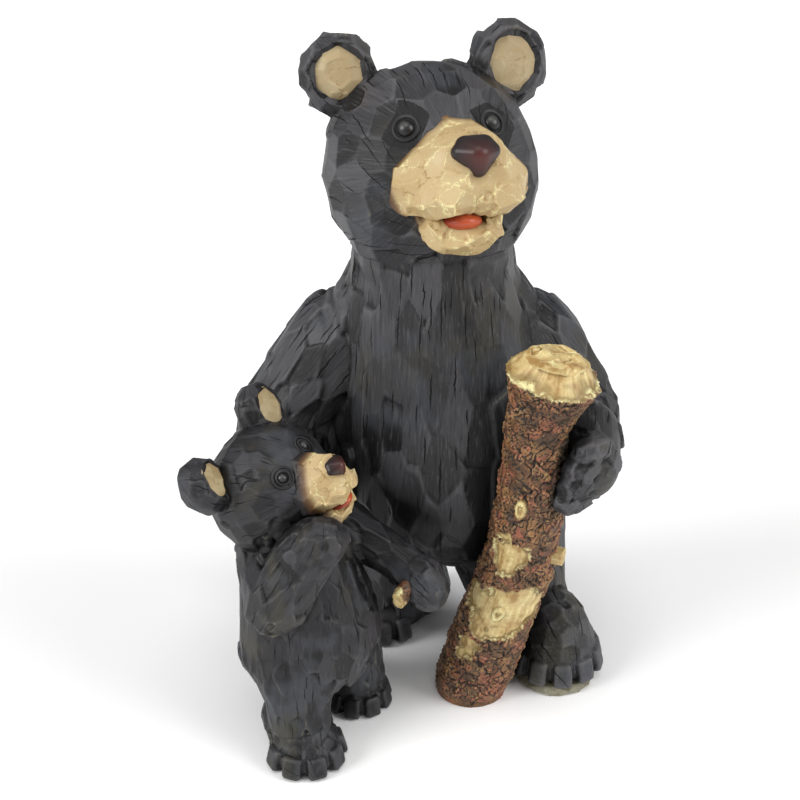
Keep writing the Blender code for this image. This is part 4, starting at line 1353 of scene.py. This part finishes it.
# the back-edge strength and fade give how dark the painted shade lies along the back of each muzzle and jaw
# and over which depths it fades
cream = {"cream": (0.52, 0.39, 0.20), "deep": (0.43, 0.30, 0.135), "warm": (0.56, 0.45, 0.26),
         "ochre": (0.30, 0.13, 0.025), "pale": (0.80, 0.72, 0.36), "umber": (0.13, 0.065, 0.025),
         "black": (0.012, 0.010, 0.010), "crackle": 0.8, "paintedShade": 0.7, "fade": (-0.98, -0.70),
         "scale": 1.0}
cubCream = {**cream, "scale": 0.62, "paintedShade": 1.0, "fade": (-1.16, -0.80)}
soleCream = {**cream, "cream": (0.24, 0.225, 0.155), "deep": (0.13, 0.12, 0.075),
             "warm": (0.30, 0.285, 0.20), "pale": (0.42, 0.40, 0.29), "ochre": (0.07, 0.055, 0.025),
             "crackle": 0.5}
barkLook = {"brown": (0.145, 0.070, 0.028), "red": (0.235, 0.085, 0.038), "pink": (0.320, 0.095, 0.055),
            "umber": (0.036, 0.021, 0.012), "gold": (0.420, 0.280, 0.120), "amber": (0.340, 0.200, 0.065),
            "cream": (0.560, 0.420, 0.185), "stainAndShade": (0.210, 0.135, 0.042), "pale": (0.740, 0.640, 0.310),
            "tan": (0.265, 0.135, 0.048), "rim": (0.800, 0.740, 0.380), "shadeNearBears": (0.016, 0.015, 0.010),
            "black": (0.010, 0.007, 0.005)}


def obstacles(masses):
    joined = bmesh.new()
    for mass in masses:
        joined.from_mesh(mass["mesh"])
    tree = BVHTree.FromBMesh(joined)
    joined.free()
    return tree


def roughLog():
    # short straight lengths of the log, so that the painted shade darkens what stands close to it
    line, girth, _ = woodLine(log)
    lengths = [(k, k + 29) for k in range(0, len(line) - 29, 40)]
    return [{"mesh": hullMesh([(line[k], girth[k]) for k in ends])} for ends in lengths]


motherForms, cubForms = motherMasses(), cubMasses()
bears = obstacles(motherForms + cubForms)
neighbours = obstacles(motherForms + cubForms + roughLog())
motherSkin = carveBear(mother, motherForms, neighbours)
cubSkin = carveBear(cub, cubForms, neighbours)

# the bears stand in the middle of the frame's box
reach = np.concatenate([motherSkin.points, cubSkin.points])
shift = np.append((np.array(cadLow + cadHigh) / 2)[:2] - (reach.max(0) + reach.min(0))[:2] / 2, 0.0)
print("set out", [round(v, 5) for v in shift])

skinPieces(("motherLegs", "motherTorso", "motherHead"), mother["levels"], motherSkin,
           charcoalPaint("motherCharcoal", charcoal), shift, mother["triangles"]["skin"])
skinPieces(("bearCub",), (), cubSkin,
           charcoalPaint("cubCharcoal", cubCharcoal), shift, cub["triangles"]["skin"])
setFace("mother", mother, cream, shift)
setFace("cub", cub, cubCream, shift)
print("faces set in")

bark = woodPaint("barkPaint", barkLook)
for name, wood in (("log", log), ("logStub", stub), ("stickEnd", stick)):
    woodPiece(name, wood, bark, bears, shift)
solePiece("motherSole", creamPaint("solePaint", soleCream), shift)
print("wood and sole made")


# lamps as place, spread in degrees and strength; the camera looks down at its target by its tilt
studio = {"world": 0.34, "floor": (1.0, 1.0, 1.0), "floorReach": 6, "aim": (0.0, 0.0, 0.3),
          "lamps": {"left": ((-1.5, -0.75, 1.20), 34, 2.3), "right": ((1.5, -0.55, 1.20), 38, 1.9),
                    "top": ((0.0, -0.4, 2.2), 40, 0.9)}}
view = {"target": (0.0, 0.0, 0.306), "tilt": 27, "distance": 1.2, "lens": 58.5, "sensor": 36, "near": 0.01}


def addStudio():
    reach = studio["floorReach"]
    corners = [(-reach, -reach, 0), (reach, -reach, 0), (reach, reach, 0), (-reach, reach, 0)]
    floorMesh = bpy.data.meshes.new("floor")
    floorMesh.from_pydata(corners, [], [(0, 1, 2, 3)])
    floor = newObject("floor", floorMesh)
    floor.data.materials.append(Paint("floorPaint").finish(Base_Color=studio["floor"], Roughness=0.9))
    floor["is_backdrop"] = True
    world = bpy.data.worlds.new("studio")
    bpy.context.scene.world = world
    world.use_nodes = True
    background = world.node_tree.nodes["Background"].inputs
    background["Color"].default_value = (1.0, 1.0, 1.0, 1.0)
    background["Strength"].default_value = studio["world"]
    for name, (place, spread, strength) in studio["lamps"].items():
        lamp = bpy.data.lights.new(name, "SUN")
        lamp.energy = strength
        lamp.angle = math.radians(spread)
        item = newObject(name, lamp)
        item.location = place
        item.rotation_euler = (Vector(studio["aim"]) - Vector(place)).to_track_quat("-Z", "Y").to_euler()


def addCamera():
    tilt = math.radians(view["tilt"])
    back = Vector((0.0, -math.cos(tilt), math.sin(tilt)))
    lens = bpy.data.cameras.new("camera")
    lens.sensor_width = view["sensor"]
    lens.lens = view["lens"]
    lens.clip_start = view["near"]
    item = newObject("camera", lens)
    item.location = Vector(view["target"]) + Vector(shift) + view["distance"] * back
    item.rotation_euler = (-back).to_track_quat("-Z", "Y").to_euler()
    bpy.context.scene.camera = item
    bpy.context.scene.view_settings.view_transform = "Standard"


addStudio()
addCamera()
print("floor, light and camera set")
